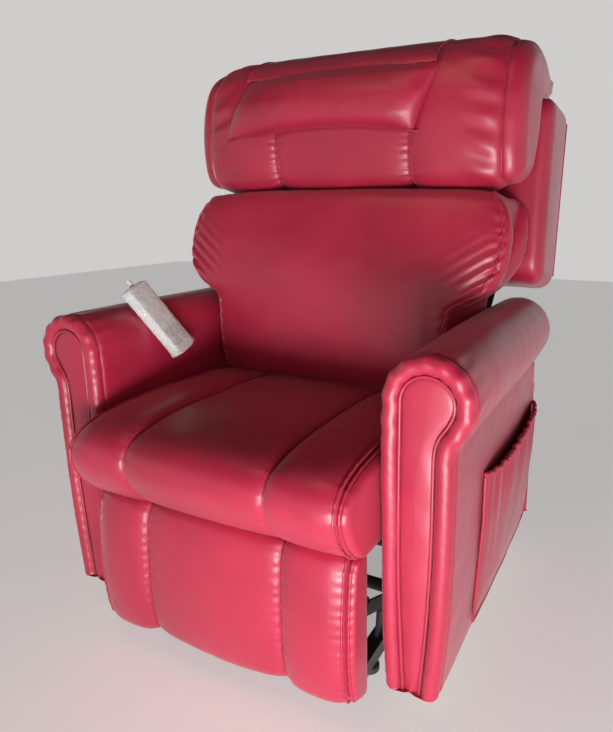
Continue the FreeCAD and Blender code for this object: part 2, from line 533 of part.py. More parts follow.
# ---- leg rest ------------------------------------------------------------------------------
def leg_rest():
    rear = link(LEG_PIVOT, LEG_ELBOW, 12, LEG_LINK, LEG_IN_X, PIN + FIT, None)
    stud = rod_x(LEG_ELBOW, PIN, LEG_OUT_X - LEG_LINK / 2, LEG_IN_X)
    save("leg_rear_links", *pair(rear.fuse(stud).removeSplitter()))
    inner = LEG_IN_X - LEG_LINK / 2
    save("leg_torque_tube", ring_x(LEG_PIVOT, 9, 6.5, -inner, inner))
    front = link(LEG_ELBOW, FOOT_PIVOT, 12, LEG_LINK, LEG_OUT_X, PIN + FIT, None)
    stud = rod_x(FOOT_PIVOT, PIN, FOOT_BRACKET_X - SIDE_PLATE / 2, LEG_OUT_X)
    save("leg_front_links", *pair(front.fuse(stud).removeSplitter()))
    board_rear = FOOTREST_REAR + FOOT_BOARD
    x0, x1 = FOOT_BRACKET_X - SIDE_PLATE / 2, FOOT_BRACKET_X + SIDE_PLATE / 2
    y, z = FOOT_PIVOT
    bracket = side_shape([(board_rear, z - 50), (board_rear, z + 46), (y + 10, z + 12),
                          (y + 10, z - 12)], x0, x1)
    bracket = bracket.fuse(box(x0 - 26, x1, board_rear, board_rear + 3, z - 50, z + 46))
    bracket = bracket.cut(rod_x(FOOT_PIVOT, PIN + FIT, x0 - 1, x1 + 1)).removeSplitter()
    save("footrest_brackets", *pair(bracket))
    save("footrest_board", box(-FOOTREST_HALF + 15, FOOTREST_HALF - 15, FOOTREST_REAR, board_rear,
                               FOOTREST_LOW + 14, FOOTREST_TOP - 12))
    pad = side_shape([(FOOTREST_REAR, FOOTREST_LOW), (FOOTREST_REAR, FOOTREST_TOP),
                      (FOOTREST_FRONT + 14, FOOTREST_TOP), (FOOTREST_FRONT, FOOTREST_TOP - 50),
                      (FOOTREST_FRONT, FOOTREST_LOW + 40), (FOOTREST_FRONT + 10, FOOTREST_LOW)],
                     -FOOTREST_HALF, FOOTREST_HALF, 5)
    save("footrest_pad", pad)


# ---- handset, lying over the inner slope of the left arm's scroll --------------------------
HAND_LENGTH = 168.0
HAND_WIDTH = 58.0
HAND_THICK = 24.0
HAND_WALL = 2.0
HAND_SLOPE = radians(60)       # how far round the scroll from its top, towards the seat
HAND_TWIST = radians(18.8)     # its foot points this far back
HAND_DEPTH = 173.0             # its middle, behind the arm fronts
KEY_ROWS = (-54.0, -34.0)
KEY_X = 11.0
KEY_SIZE = (15.0, 11.0)
KEY_PROUD = 1.0
KEY_PLAY = 0.35


def in_place(shape):
    # from the handset's own axes (X across, Y to its head, Z out of its face) to the chair
    out = V(sin(HAND_SLOPE), 0, cos(HAND_SLOPE))
    down = V(cos(HAND_SLOPE) * cos(HAND_TWIST), sin(HAND_TWIST), -sin(HAND_SLOPE) * cos(HAND_TWIST))
    across = out.cross(down)
    seat_at = V(-ROLL_X, HAND_DEPTH, ROLL_HEIGHT) + out * (ROLL_RADIUS + 0.6)
    matrix = FreeCAD.Matrix(across.x, -down.x, out.x, seat_at.x, across.y, -down.y, out.y,
                            seat_at.y, across.z, -down.z, out.z, seat_at.z, 0, 0, 0, 1)
    placed = shape.copy()
    placed.Placement = FreeCAD.Placement(matrix).multiply(placed.Placement)
    return placed


def handset():
    w, l, t, wall = HAND_WIDTH / 2, HAND_LENGTH / 2, HAND_THICK, HAND_WALL
    body = box(-w, w, -l, l, 0, t)
    body = body.makeFillet(13, [e for e in body.Edges if abs(e.tangentAt(e.FirstParameter).z) > 0.99])
    body = body.makeFillet(4, [e for e in body.Edges if abs(e.BoundBox.ZMax - e.BoundBox.ZMin) < 0.01])
    inside = box(-w + wall, w - wall, -l + wall, l - wall, wall, t - wall)
    inside = inside.makeFillet(11, [e for e in inside.Edges
                                    if abs(e.tangentAt(e.FirstParameter).z) > 0.99])
    shell = body.cut(inside)
    half = t / 2
    lower = shell.common(box(-w - 1, w + 1, -l - 1, l + 1, -1, half))
    upper = shell.common(box(-w - 1, w + 1, -l - 1, l + 1, half, t + 1))
    kx, ky = KEY_SIZE[0] / 2, KEY_SIZE[1] / 2
    keys = [(x, y) for y in KEY_ROWS for x in (-KEY_X, KEY_X)]
    for x, y in keys:
        upper = upper.cut(box(x - kx - KEY_PLAY, x + kx + KEY_PLAY, y - ky - KEY_PLAY,
                              y + ky + KEY_PLAY, t - wall - 1, t + 1))
    exit_hole = Part.makeCylinder(4.5, 12, V(0, l - 6, half), Y_AXIS)
    save("handset_rear_shell", in_place(lower.cut(exit_hole)))
    save("handset_front_shell", in_place(upper.cut(exit_hole)))
    board_top = t - wall - 6
    save("handset_board", in_place(box(-w + 6, w - 6, -l + 10, l - 24, board_top - 1.6, board_top)))
    gland = Part.makeCylinder(4.4, 10, V(0, l - 5, half), Y_AXIS)
    gland = gland.fuse(Part.makeCone(5.6, 4.2, 14, V(0, l + 0.5, half), Y_AXIS)).removeSplitter()
    save("handset_cable_gland", in_place(gland))
    names = ("legs_down_button", "legs_up_button", "back_down_button", "back_up_button")
    for name, (x, y) in zip(names, keys):
        cap = box(x - kx, x + kx, y - ky, y + ky, board_top + 1.2, t + KEY_PROUD)
        cap = cap.makeFillet(2.5, [e for e in cap.Edges
                                   if abs(e.tangentAt(e.FirstParameter).z) > 0.99])
        save(name, in_place(cap))


def build():
    os.makedirs("parts", exist_ok=True)
    base_frame()
    power_unit()
    lift_links()
    actuator("lift", LIFT_TAIL, LIFT_HEAD, MOTOR_X, -1, 178, 32, 190)
    chassis()
    seat()
    arms()
    back()
    actuator("back", BACK_TAIL, BACK_HEAD, BACK_MOTOR_X, -1, 230, 32, 232)
    head_pillow()
    leg_rest()
    handset()


build()
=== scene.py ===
import json
from math import cos, pi, radians, sin, sqrt
import bmesh
import bpy
import numpy as np
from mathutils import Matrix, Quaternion, Vector, noise

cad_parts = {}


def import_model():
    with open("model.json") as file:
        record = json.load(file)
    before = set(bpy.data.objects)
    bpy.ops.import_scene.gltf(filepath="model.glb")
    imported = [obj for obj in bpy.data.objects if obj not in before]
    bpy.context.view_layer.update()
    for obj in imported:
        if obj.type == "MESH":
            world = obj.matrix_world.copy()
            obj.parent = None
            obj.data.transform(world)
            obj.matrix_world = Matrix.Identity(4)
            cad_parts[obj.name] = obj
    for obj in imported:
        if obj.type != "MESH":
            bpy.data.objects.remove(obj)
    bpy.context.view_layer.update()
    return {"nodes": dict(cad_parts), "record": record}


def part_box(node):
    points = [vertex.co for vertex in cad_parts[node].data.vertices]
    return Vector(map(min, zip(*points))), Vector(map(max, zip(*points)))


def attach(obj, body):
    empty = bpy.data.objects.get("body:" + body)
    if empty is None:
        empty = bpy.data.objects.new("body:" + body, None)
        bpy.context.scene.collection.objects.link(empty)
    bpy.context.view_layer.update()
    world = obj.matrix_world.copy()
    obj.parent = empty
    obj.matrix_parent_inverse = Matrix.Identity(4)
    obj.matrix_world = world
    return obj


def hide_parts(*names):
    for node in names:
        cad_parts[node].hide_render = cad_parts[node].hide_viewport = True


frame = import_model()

NODES = frame["nodes"]

# Metres, in the chair's own frame. "Depth" is measured back from the plane of the arm fronts.
ARM_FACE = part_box("right_arm_front_border")[0].y
MM = 0.001


# ---- shader maths ---------------------------------------------------------------------------
class Value:
    """A number socket that works in Python expressions."""

    def __init__(self, paint, socket):
        self.paint, self.socket = paint, socket

    def _math(self, operation, first, second=None, clamp=False):
        links = {0: first} if second is None else {0: first, 1: second}
        return self.paint.add("ShaderNodeMath", links, operation=operation, use_clamp=clamp)

    def __add__(self, other):
        return self._math("ADD", self, other)

    def __sub__(self, other):
        return self._math("SUBTRACT", self, other)

    def __mul__(self, other):
        return self._math("MULTIPLY", self, other)

    def __truediv__(self, other):
        return self._math("DIVIDE", self, other)

    def __rsub__(self, other):
        return self._math("SUBTRACT", other, self)

    def __pow__(self, other):
        return self._math("POWER", self, other)

    __radd__, __rmul__ = __add__, __mul__

    def over(self, edge, slope):
        """0 below the edge, rising to 1 at this slope."""
        return self._math("MULTIPLY", self - edge, slope, clamp=True)


class Paint:
    """One material: its node tree, with a Principled shader at the end."""

    def __init__(self, name, colour, roughness, **constants):
        self.material = bpy.data.materials.new(name)
        self.material.use_nodes = True
        self.tree = self.material.node_tree
        self.shader = self.tree.nodes["Principled BSDF"]
        self.shader.inputs["Base Color"].default_value = (*colour, 1)
        self.shader.inputs["Roughness"].default_value = roughness
        for socket, value in constants.items():
            self.shader.inputs[socket.replace("_", " ")].default_value = value
        self.here = self.add("ShaderNodeTexCoord", output="Object")

    def add(self, kind, links=None, output=0, **settings):
        node = self.tree.nodes.new(kind)
        for setting, value in settings.items():
            setattr(node, setting, value)
        for socket, value in (links or {}).items():
            if isinstance(value, Value):
                self.tree.links.new(value.socket, node.inputs[socket])
            else:
                node.inputs[socket].default_value = value
        return Value(self, node.outputs[output])

    def noise(self, scale, detail=2.0, roughness=0.5, where=None):
        links = {"Vector": where or self.here, "Scale": scale, "Detail": detail,
                 "Roughness": roughness}
        return self.add("ShaderNodeTexNoise", links, output="Fac")

    def cells(self, scale, feature="F1", where=None):
        return self.add("ShaderNodeTexVoronoi", {"Vector": where or self.here, "Scale": scale},
                        output="Distance", feature=feature)

    def stretched(self, x, y, z):
        return self.add("ShaderNodeVectorMath", {0: self.here, 1: (x, y, z)},
                        operation="MULTIPLY")

    def mix(self, share, a, b):
        """A colour between a and b, which are colours or colour sockets."""
        links = {0: share, 6: a if isinstance(a, Value) else (*a, 1),
                 7: b if isinstance(b, Value) else (*b, 1)}
        return self.add("ShaderNodeMix", links, output=2, data_type="RGBA")

    def set(self, **sockets):
        for socket, value in sockets.items():
            self.tree.links.new(value.socket, self.shader.inputs[socket.replace("_", " ")])
        return self

    def bump(self, height, distance, strength=1.0):
        links = {"Height": height, "Distance": distance, "Strength": strength}
        return self.set(Normal=self.add("ShaderNodeBump", links))


def vinyl():
    crimson, deep = (0.46, 0.017, 0.055), (0.36, 0.012, 0.040)
    paint = Paint("burgundy_vinyl", crimson, 0.4, Specular_IOR_Level=0.55,
                  Coat_Roughness=0.28, Sheen_Weight=0.12, Sheen_Roughness=0.4)
    patches = paint.noise(5.5, 3.0)
    grain = paint.cells(820.0, "SMOOTH_F1")
    creases = paint.noise(240.0, 3.0, 0.6)
    paint.set(Base_Color=paint.mix(patches.over(0.32, 2.6), deep, crimson),
              Roughness=paint.noise(38.0, 3.0) * 0.14 + grain * 0.12 + 0.30,
              Coat_Weight=paint.noise(9.0) * 0.3 + 0.05)
    paint.bump(grain * 0.7 + creases * 0.5, 0.00022, 0.55)
    return paint.material


def thread():
    paint = Paint("burgundy_thread", (0.50, 0.03, 0.085), 0.5, Sheen_Weight=0.3)
    ply = paint.noise(1400.0, 1.0)
    paint.set(Base_Color=paint.mix(ply, (0.34, 0.015, 0.05), (0.6, 0.05, 0.12)))
    paint.bump(ply, 0.0002, 0.6)
    return paint.material


def powder_coat():
    paint = Paint("black_powder_coat", (0.018, 0.018, 0.02), 0.42)
    peel = paint.noise(420.0, 2.0)
    dust = paint.noise(14.0, 4.0)
    paint.set(Base_Color=paint.mix(dust.over(0.5, 3.0), (0.015, 0.015, 0.017), (0.035, 0.034, 0.033)),
              Roughness=dust * 0.25 + 0.3)
    paint.bump(peel, 0.0002, 0.5)
    return paint.material


def zinc_plate():
    paint = Paint("zinc_plate", (0.60, 0.59, 0.56), 0.3, Metallic=1.0)
    brushed = paint.noise(260.0, 2.0, where=paint.stretched(0.15, 3.0, 3.0))
    haze = paint.noise(30.0, 3.0)
    paint.set(Base_Color=paint.mix(haze, (0.50, 0.50, 0.48), (0.68, 0.67, 0.62)),
              Roughness=brushed * 0.2 + 0.2)
    paint.bump(brushed, 0.0001, 0.4)
    return paint.material


def timber():
    paint = Paint("birch_timber", (0.58, 0.41, 0.24), 0.55)
    rings = paint.noise(55.0, 4.0, where=paint.stretched(0.25, 1.0, 1.0))
    pores = paint.noise(600.0, 2.0, where=paint.stretched(0.06, 1.0, 1.0))
    paint.set(Base_Color=paint.mix(rings.over(0.35, 3.0), (0.64, 0.47, 0.29), (0.45, 0.29, 0.16)),
              Roughness=pores * 0.3 + 0.4)
    paint.bump(pores, 0.0003, 0.4)
    return paint.material


def black_plastic():
    paint = Paint("black_plastic", (0.03, 0.03, 0.033), 0.45)
    spark = paint.cells(700.0)
    paint.set(Roughness=spark * 0.25 + 0.36)
    paint.bump(spark, 0.00015, 0.5)
    return paint.material


def webbing():
    paint = Paint("black_webbing", (0.025, 0.025, 0.027), 0.8, Sheen_Weight=0.3)
    across = paint.add("ShaderNodeTexWave", {"Vector": paint.here, "Scale": 180.0, "Distortion": 0.4},
                       output="Fac", bands_direction="X")
    along = paint.add("ShaderNodeTexWave", {"Vector": paint.here, "Scale": 220.0, "Distortion": 0.4},
                      output="Fac", bands_direction="Z")
    weave = across * along
    paint.set(Base_Color=paint.mix(weave, (0.012, 0.012, 0.013), (0.05, 0.05, 0.052)))
    paint.bump(weave, 0.0006, 0.7)
    return paint.material


def pale_plastic(name="handset_plastic", colour=(0.66, 0.70, 0.66)):
    paint = Paint(name, colour, 0.32, Specular_IOR_Level=0.5)
    spark = paint.cells(900.0)
    shade = paint.noise(20.0)
    paint.set(Base_Color=paint.mix(shade, tuple(c * 0.93 for c in colour), colour),
              Roughness=spark * 0.15 + 0.26)
    paint.bump(spark, 0.00008, 0.35)
    return paint.material


def rubber():
    paint = Paint("black_rubber", (0.02, 0.02, 0.02), 0.7)
    rough = paint.noise(300.0, 3.0)
    paint.set(Roughness=rough * 0.3 + 0.55)
    paint.bump(rough, 0.0002, 0.5)
    return paint.material


def circuit_green():
    paint = Paint("circuit_green", (0.02, 0.17, 0.06), 0.35)
    tracks = paint.cells(260.0, "DISTANCE_TO_EDGE")
    paint.set(Base_Color=paint.mix(tracks.over(0.05, 20.0), (0.10, 0.32, 0.10), (0.01, 0.13, 0.045)))
    return paint.material


def printed_ink():
    paint = Paint("grey_print", (0.09, 0.11, 0.10), 0.5)
    paint.set(Roughness=paint.noise(500.0) * 0.2 + 0.4)
    return paint.material


def clear_film():
    """Thin crinkled plastic: mostly see-through, with glossy folds."""
    paint = Paint("clear_film", (0.95, 0.97, 0.95), 0.16, Specular_IOR_Level=0.8)
    folds = paint.noise(70.0, 4.0, 0.65)
    fine = paint.cells(150.0, "DISTANCE_TO_EDGE")
    rim = paint.add("ShaderNodeLayerWeight", {"Blend": 0.45}, output="Facing")
    paint.set(Alpha=rim * 0.5 + folds.over(0.45, 4.0) * 0.35 + 0.12,
              Roughness=folds * 0.25 + 0.05)
    paint.bump(folds + fine * 0.3, 0.003, 0.9)
    return paint.material


VINYL, THREAD, FILM, INK = vinyl(), thread(), clear_film(), printed_ink()
FINISHES = {
    "vinyl": VINYL, "black_steel": powder_coat(), "zinc": zinc_plate(), "timber": timber(),
    "motor_plastic": black_plastic(), "webbing": webbing(), "handset_plastic": pale_plastic(),
    "button_rubber": pale_plastic("button_silicone", (0.60, 0.64, 0.60)), "foot_rubber": rubber(),
    "circuit_board": circuit_green(),
}
for part in frame["record"]["subparts"]:
    mesh = NODES[part["node"]].data
    mesh.materials.clear()
    mesh.materials.append(FINISHES[part["material_slot"]])


# ---- shapes ---------------------------------------------------------------------------------
def run_along(points):
    """The length along a line, up to each of its points."""
    return np.concatenate([[0], np.cumsum(np.linalg.norm(np.diff(points, axis=0), axis=1))])


def spread(loop, across):
    """A grid of points: the loop's section repeated at each station across."""
    grid = np.zeros((len(loop), len(across), 3))
    grid[:, :, 0], grid[:, :, 1:] = across[None, :], loop[:, None, :]
    return grid


def smooth_line(points, count, closed=False):
    """Evenly spaced points on a smooth curve through the given ones."""
    p = np.array(points, float)
    n = len(p)
    if closed:
        p = np.vstack([p[-1], p, p[0], p[1]])
        spans = n
    else:
        p = np.vstack([2 * p[0] - p[1], p, 2 * p[-1] - p[-2]])
        spans = n - 1
    t = np.linspace(0, 1, 24, endpoint=False)[:, None]
    curve = []
    for i in range(spans):
        a, b, c, d = p[i], p[i + 1], p[i + 2], p[i + 3]
        curve.append(0.5 * (2 * b + (c - a) * t + (2 * a - 5 * b + 4 * c - d) * t ** 2
                            + (3 * b - a - 3 * c + d) * t ** 3))
    curve = np.vstack(curve + [p[-2][None]])
    run = run_along(curve)
    at = np.linspace(0, run[-1], count, endpoint=not closed)
    return np.stack([np.interp(at, run, curve[:, k]) for k in range(p.shape[1])], axis=1)


def outward(loop):
    """Unit normals of a closed (depth, height) loop, pointing out of it."""
    ahead, behind = np.roll(loop, -1, 0), np.roll(loop, 1, 0)
    t = ahead - behind
    t /= np.linalg.norm(t, axis=1)[:, None]
    area = np.sum(loop[:, 0] * ahead[:, 1] - ahead[:, 0] * loop[:, 1])
    return np.stack([t[:, 1], -t[:, 0]], axis=1) * (1 if area > 0 else -1)


def make(name, points, faces, body, material=None, replaces=(), smooth=True):
    mesh = bpy.data.meshes.new(name)
    mesh.from_pydata([tuple(p) for p in points], [], faces)
    mesh.update()
    if smooth:
        mesh.polygons.foreach_set("use_smooth", [True] * len(mesh.polygons))
    obj = bpy.data.objects.new(name, mesh)
    bpy.context.scene.collection.objects.link(obj)
    mesh.materials.append(material or VINYL)
    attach(obj, body)
    if replaces:
        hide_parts(*replaces)
    return obj


def grid_faces(rows, columns, wrap=False, start=0):
    faces = []
    for i in range(rows if wrap else rows - 1):
        k = (i + 1) % rows
        for j in range(columns - 1):
            faces.append((start + i * columns + j, start + k * columns + j,
                          start + k * columns + j + 1, start + i * columns + j + 1))
    return faces


def subdivided(obj, levels=1):
    modifier = obj.modifiers.new("smooth", "SUBSURF")
    modifier.levels = modifier.render_levels = levels
    return obj


def stations(half, seams, coarse=0.011, ends=()):
    """Places across a cushion: close together at each seam, wider apart between."""
    near = np.array([0, 1.2, 2.6, 4.5, 7.5]) * MM
    marks = [s + side * d for s in seams for side in (-1, 1) for d in near]
    plain = [x for x in np.linspace(-half, half, int(2 * half / coarse) + 1)
             if all(abs(x - s) > 0.011 for s in seams)]
    return np.unique(np.round(np.array(plain + marks + list(ends)), 5))


def puff(x, edges, height, power=2.6, ease=0.62):
    """The rise of padding between sewn lines: quick beside a seam, flat in the middle."""
    rise = np.zeros_like(x)
    for a, b in zip(edges, edges[1:]):
        inside = (x >= a) & (x <= b)
        t = (x[inside] - a) / (b - a) * 2 - 1
        rise[inside] = height * (1 - np.abs(t) ** power) ** ease
    return rise


def rounded_end(x, start, end, inset):
    """How far a section draws in between its last seam and its flat end."""
    t = np.clip((np.abs(x) - start) / (end - start), 0, 1)
    return inset * (1 - np.sqrt(1 - t ** 2 * 0.985))


def wander(points, scale, seed=0.0):
    """Smooth noise at each point, about -1 to 1."""
    flat = np.asarray(points).reshape(-1, 3) * scale
    values = [noise.noise(Vector((p[0] + seed, p[1] - seed, p[2] + 2 * seed))) for p in flat]
    return np.array(values).reshape(np.asarray(points).shape[:-1])


def cushion(name, body, loop, across, offset, half=None, dome=0.004, replaces=(), levels=1,
            cap_steps=(0.93, 0.8, 0.55, 0.25)):
    """A padded roll: a closed side section carried across the chair, with domed ends.
    across is each station's x, or its share of half where half gives a width per loop point."""
    n, m = len(loop), len(across)
    normals = outward(loop)
    points = np.zeros((n, m, 3))
    width = np.ones(n) if half is None else half
    points[:, :, 0] = across[None, :] * width[:, None]
    points[:, :, 1] = ARM_FACE + loop[:, 0][:, None] + normals[:, 0][:, None] * offset
    points[:, :, 2] = loop[:, 1][:, None] + normals[:, 1][:, None] * offset
    verts = list(points.reshape(-1, 3))
    faces = grid_faces(n, m, wrap=True)
    for side, column in ((-1, 0), (1, m - 1)):
        edge = points[:, column]
        centre = edge.mean(axis=0)
        previous = [i * m + column for i in range(n)]
        for step in cap_steps:
            ring = centre + (edge - centre) * step
            ring[:, 0] = edge[:, 0] * step + centre[0] * (1 - step) + side * dome * (1 - step ** 2)
            start = len(verts)
            verts += list(ring)
            current = list(range(start, start + n))
            for i in range(n):
                k = (i + 1) % n
                quad = (previous[i], previous[k], current[k], current[i])
                faces.append(quad[::-1] if side > 0 else quad)
            previous = current
        for i in range(n // 2 - 1):
            quad = (previous[i], previous[i + 1], previous[n - 2 - i], previous[n - 1 - i])
            faces.append(quad if side > 0 else quad[::-1])
    obj = make(name, verts, faces, body, replaces=replaces)
    fix_normals(obj)
    if levels:
        subdivided(obj, levels)
    return obj, points


def fix_normals(obj):
    bm = bmesh.new()
    bm.from_mesh(obj.data)
    bmesh.ops.recalc_face_normals(bm, faces=bm.faces)
    bm.to_mesh(obj.data)
    bm.free()


def frames_along(path):
    """Tangent and two normals at each point of a path, without twist."""
    tangent = np.gradient(path, axis=0)
    tangent /= np.linalg.norm(tangent, axis=1)[:, None] + 1e-12
    side = np.cross(tangent[0], (0.31, 0.17, 0.93))
    sides = []
    for t in tangent:
        side = side - t * (side @ t)
        side = side / (np.linalg.norm(side) + 1e-12)
        sides.append(side)
    sides = np.array(sides)
    return tangent, sides, np.cross(tangent, sides)


def tube(name, path, radius, body, material=None, sides=8, closed_ends=True):
    """A round cord of constant or varying radius along a path."""
    path = np.asarray(path, float)
    _, a, b = frames_along(path)
    r = np.broadcast_to(radius, (len(path),))
    angle = np.linspace(0, 2 * pi, sides, endpoint=False)
    rings = (path[:, None] + a[:, None] * (np.cos(angle)[:, None] * r[:, None, None])
             + b[:, None] * (np.sin(angle)[:, None] * r[:, None, None]))
    faces = []
    for i in range(len(path) - 1):
        for k in range(sides):
            j = (k + 1) % sides
            faces.append((i * sides + k, i * sides + j, (i + 1) * sides + j, (i + 1) * sides + k))
    if closed_ends:
        last = (len(path) - 1) * sides
        faces += [tuple(range(sides))[::-1], tuple(range(last, last + sides))]
    return make(name, rings.reshape(-1, 3), faces, body, material)


def stitching(name, paths, body, pitch=0.0062, length=0.0042, radius=0.00065):
    """Thread showing along sewn lines: one short rounded dash per stitch."""
    verts, faces = [], []
    for path in paths:
        path = np.asarray(path, float)
        run = run_along(path)
        for s in np.arange(pitch, run[-1] - pitch, pitch):
            a, b = (np.array([np.interp(v, run, path[:, k]) for k in range(3)])
                    for v in (s - length / 2, s + length / 2))
            line = b - a
            line /= np.linalg.norm(line) + 1e-12
            side = np.cross(line, (0.2, 0.35, 0.9))
            side /= np.linalg.norm(side)
            up = np.cross(line, side)
            start = len(verts)
            for share, grow in ((0, 0.45), (0.25, 1.0), (0.75, 1.0), (1, 0.45)):
                for q in range(6):
                    w = q * pi / 3
                    verts.append(a + (b - a) * share + (side * cos(w) + up * sin(w)) * radius * grow)
            for ring in range(3):
                for q in range(6):
                    w = (q + 1) % 6
                    faces.append((start + ring * 6 + q, start + ring * 6 + w,
                                  start + ring * 6 + 6 + w, start + ring * 6 + 6 + q))
            faces += [tuple(start + q for q in range(5, -1, -1)), tuple(start + 18 + q for q in range(6))]
    return make(name, verts, faces, body, THREAD)


def loop_normals(loop):
    flat = outward(loop)
    return np.stack([np.zeros(len(loop)), flat[:, 0], flat[:, 1]], axis=1)


STITCH_ROWS = (-0.0045, 0.0045)      # a row of stitches at each side of a seam


# ---- seat and leg rest ----------------------------------------------------------------------
SEAM = 0.1414        # the two lengthwise seams of the seat and the leg rest
ROLL_SEAM = 0.267    # the seam at each end of a cushion


def ribbed(x, loop, seams, end, height, seed, pucker=0.0011, tuck=0.0050):
    """Offset of a sewn pad: padding rises between the seams, and each seam pulls in."""
    edges = [-end, *seams, end]
    rise = puff(np.clip(x, -end, end), edges, height)
    drop = np.zeros_like(x)
    for s in (*seams, -end, end):
        drop -= tuck * np.exp(-np.abs(x - s) / 0.0045)
    offset = (rise + drop)[None, :] * np.ones((len(loop), 1))
    run = run_along(loop)
    points = np.zeros((len(loop), len(x), 3))
    points[:, :, 0], points[:, :, 1], points[:, :, 2] = x[None, :], loop[:, 0][:, None], loop[:, 1][:, None]
    for s in (*seams, -end, end):
        near = np.exp(-((np.abs(x - s) - 0.007) / 0.009) ** 2)[None, :]
        gather = np.sin(run[:, None] * 2 * pi / 0.017 + 2.2 * wander(points * [0, 1, 1], 40.0, seed + s))
        offset += pucker * near * gather
    offset += 0.0016 * wander(points, 9.0, seed) + 0.0006 * wander(points, 34.0, seed + 3)
    return offset


SEAT_SIDE = [(0.338, 0.440), (0.330, 0.447), (0.24, 0.452), (0.14, 0.453), (0.05, 0.4515), (-0.01, 0.445),
             (-0.051, 0.4345), (-0.074, 0.418), (-0.083, 0.396), (-0.078, 0.372), (-0.061, 0.340),
             (-0.037, 0.314), (-0.018, 0.3065), (0.06, 0.306), (0.18, 0.306), (0.325, 0.306), (0.338, 0.314)]
loop = smooth_line(SEAT_SIDE, 150, closed=True)
SEAT_END = 0.2835
across = stations(SEAT_END, (-ROLL_SEAM, -SEAM, SEAM, ROLL_SEAM))
pad = ribbed(across, loop, (-SEAM, SEAM), ROLL_SEAM, 0.0105, 1.0)
pad -= rounded_end(across, ROLL_SEAM + 0.002, SEAT_END, 0.010)[None, :]
inside_out = np.clip((loop[:, 1] - 0.306) / 0.05, 0, 1)[:, None]
pad = pad * (0.35 + 0.65 * inside_out)
pad = np.where(pad < 0, pad, pad * (1 - 0.55 * (loop[:, 0] > 0.30)[:, None]))
seat, seat_points = cushion("seat_pad", "chassis", loop, across, pad, replaces=("seat_cushion",))
seat_normals = loop_normals(loop)


def front_rows(loop, keep):
    """Loop rows in order along one visible run of the section."""
    marks = [keep(y, z) for y, z in loop]
    n = len(loop)
    start = next(i for i in range(n) if marks[i] and not marks[i - 1])
    rows = []
    while marks[start % n] and len(rows) < n:
        rows.append(start % n)
        start += 1
    return rows


def column(across, x):
    return int(np.argmin(np.abs(across - x)))


def sewn_line(points, normals, rows, across, x, lift):
    return points[rows, column(across, x)] + normals[rows] * lift


def trim_cords(prefix, body, points, normals, rows, across, places, radius, lift):
    """Piping cords beside the end seams, left and right."""
    for side in (-1, 1):
        for number, x in enumerate(places):
            path = points[rows, column(across, side * x)] + normals[rows] * lift
            path = smooth_line(path, 2 * len(path))
            name = f"{prefix}_{'left' if side < 0 else 'right'}_{number + 1}"
            tube(name, path, radius, body)


seat_rows = front_rows(loop, lambda y, z: y < 0.30 and (z > 0.38 or y < 0.0))
trim_cords("seat_piping", "chassis", seat_points, seat_normals, seat_rows, across,
           (0.2625, 0.2705), 0.0022, 0.0018)
stitching("seat_stitches", [sewn_line(seat_points, seat_normals, seat_rows, across, s * SEAM + d, 0.0006)
                            for s in (-1, 1) for d in STITCH_ROWS], "chassis")

LEG_SIDE = [(0.004, 0.296), (-0.006, 0.3005), (-0.020, 0.301), (-0.0315, 0.293), (-0.039, 0.270),
            (-0.044, 0.22), (-0.0455, 0.17), (-0.0445, 0.12), (-0.040, 0.080), (-0.033, 0.056),
            (-0.020, 0.0465), (-0.006, 0.0455), (0.004, 0.050), (0.004, 0.12), (0.004, 0.2)]
loop = smooth_line(LEG_SIDE, 124, closed=True)
LEG_END = 0.2715
LEG_SEAM = 0.2585
across = stations(LEG_END, (-LEG_SEAM, -SEAM, SEAM, LEG_SEAM))
pad = ribbed(across, loop, (-SEAM, SEAM), LEG_SEAM, 0.0145, 5.0, pucker=0.0009, tuck=0.0058)
pad -= rounded_end(across, LEG_SEAM + 0.002, LEG_END, 0.007)[None, :]
forward = np.clip((0.0 - loop[:, 0]) / 0.03, 0, 1)[:, None]
pad = pad * forward
leg_pad, leg_points = cushion("leg_rest_pad", "footrest", loop, across, pad, dome=0.001,
                              replaces=("footrest_pad",))
leg_normals = loop_normals(loop)
leg_rows = front_rows(loop, lambda y, z: y < -0.012)
trim_cords("leg_rest_piping", "footrest", leg_points, leg_normals, leg_rows, across,
           (0.2545, 0.2625), 0.002, 0.0012)
stitching("leg_rest_stitches",
          [sewn_line(leg_points, leg_normals, leg_rows, across, s * SEAM + d, 0.0006)
           for s in (-1, 1) for d in STITCH_ROWS], "footrest")


# ---- back cushions --------------------------------------------------------------------------
def shell_width(z, steps):
    """Half width at a height, blended between the given (height, half width) steps."""
    heights, widths = zip(*steps)
    return np.interp(z, heights, widths)


LOWER_SIDE = [(0.50, 0.836), (0.455, 0.8455), (0.432, 0.842), (0.415, 0.824), (0.399, 0.79),
              (0.380, 0.74), (0.362, 0.68), (0.350, 0.62), (0.345, 0.56), (0.347, 0.50), (0.356, 0.463),
              (0.372, 0.443), (0.40, 0.437), (0.46, 0.437), (0.505, 0.47), (0.53, 0.56), (0.548, 0.66),
              (0.566, 0.76), (0.570, 0.83)]
loop = smooth_line(LOWER_SIDE, 150, closed=True)
share_end = 0.955
shares = stations(1.0, (-share_end, share_end), coarse=0.022)
half = shell_width(loop[:, 1], ((0.43, 0.270), (0.45, 0.279), (0.60, 0.284), (0.625, 0.289), (0.634, 0.305),
                                (0.645, 0.328), (0.66, 0.349), (0.68, 0.366), (0.70, 0.376), (0.73, 0.383),
                                (0.77, 0.384), (0.80, 0.379), (0.82, 0.371), (0.835, 0.361), (0.85, 0.345)))
grid = np.zeros((len(loop), len(shares), 3))
grid[:, :, 0] = shares[None, :] * half[:, None]
grid[:, :, 1:] = loop[:, None, :]
rise = puff(np.clip(shares, -share_end, share_end), (-share_end, share_end), 0.016, power=4.0, ease=0.8)
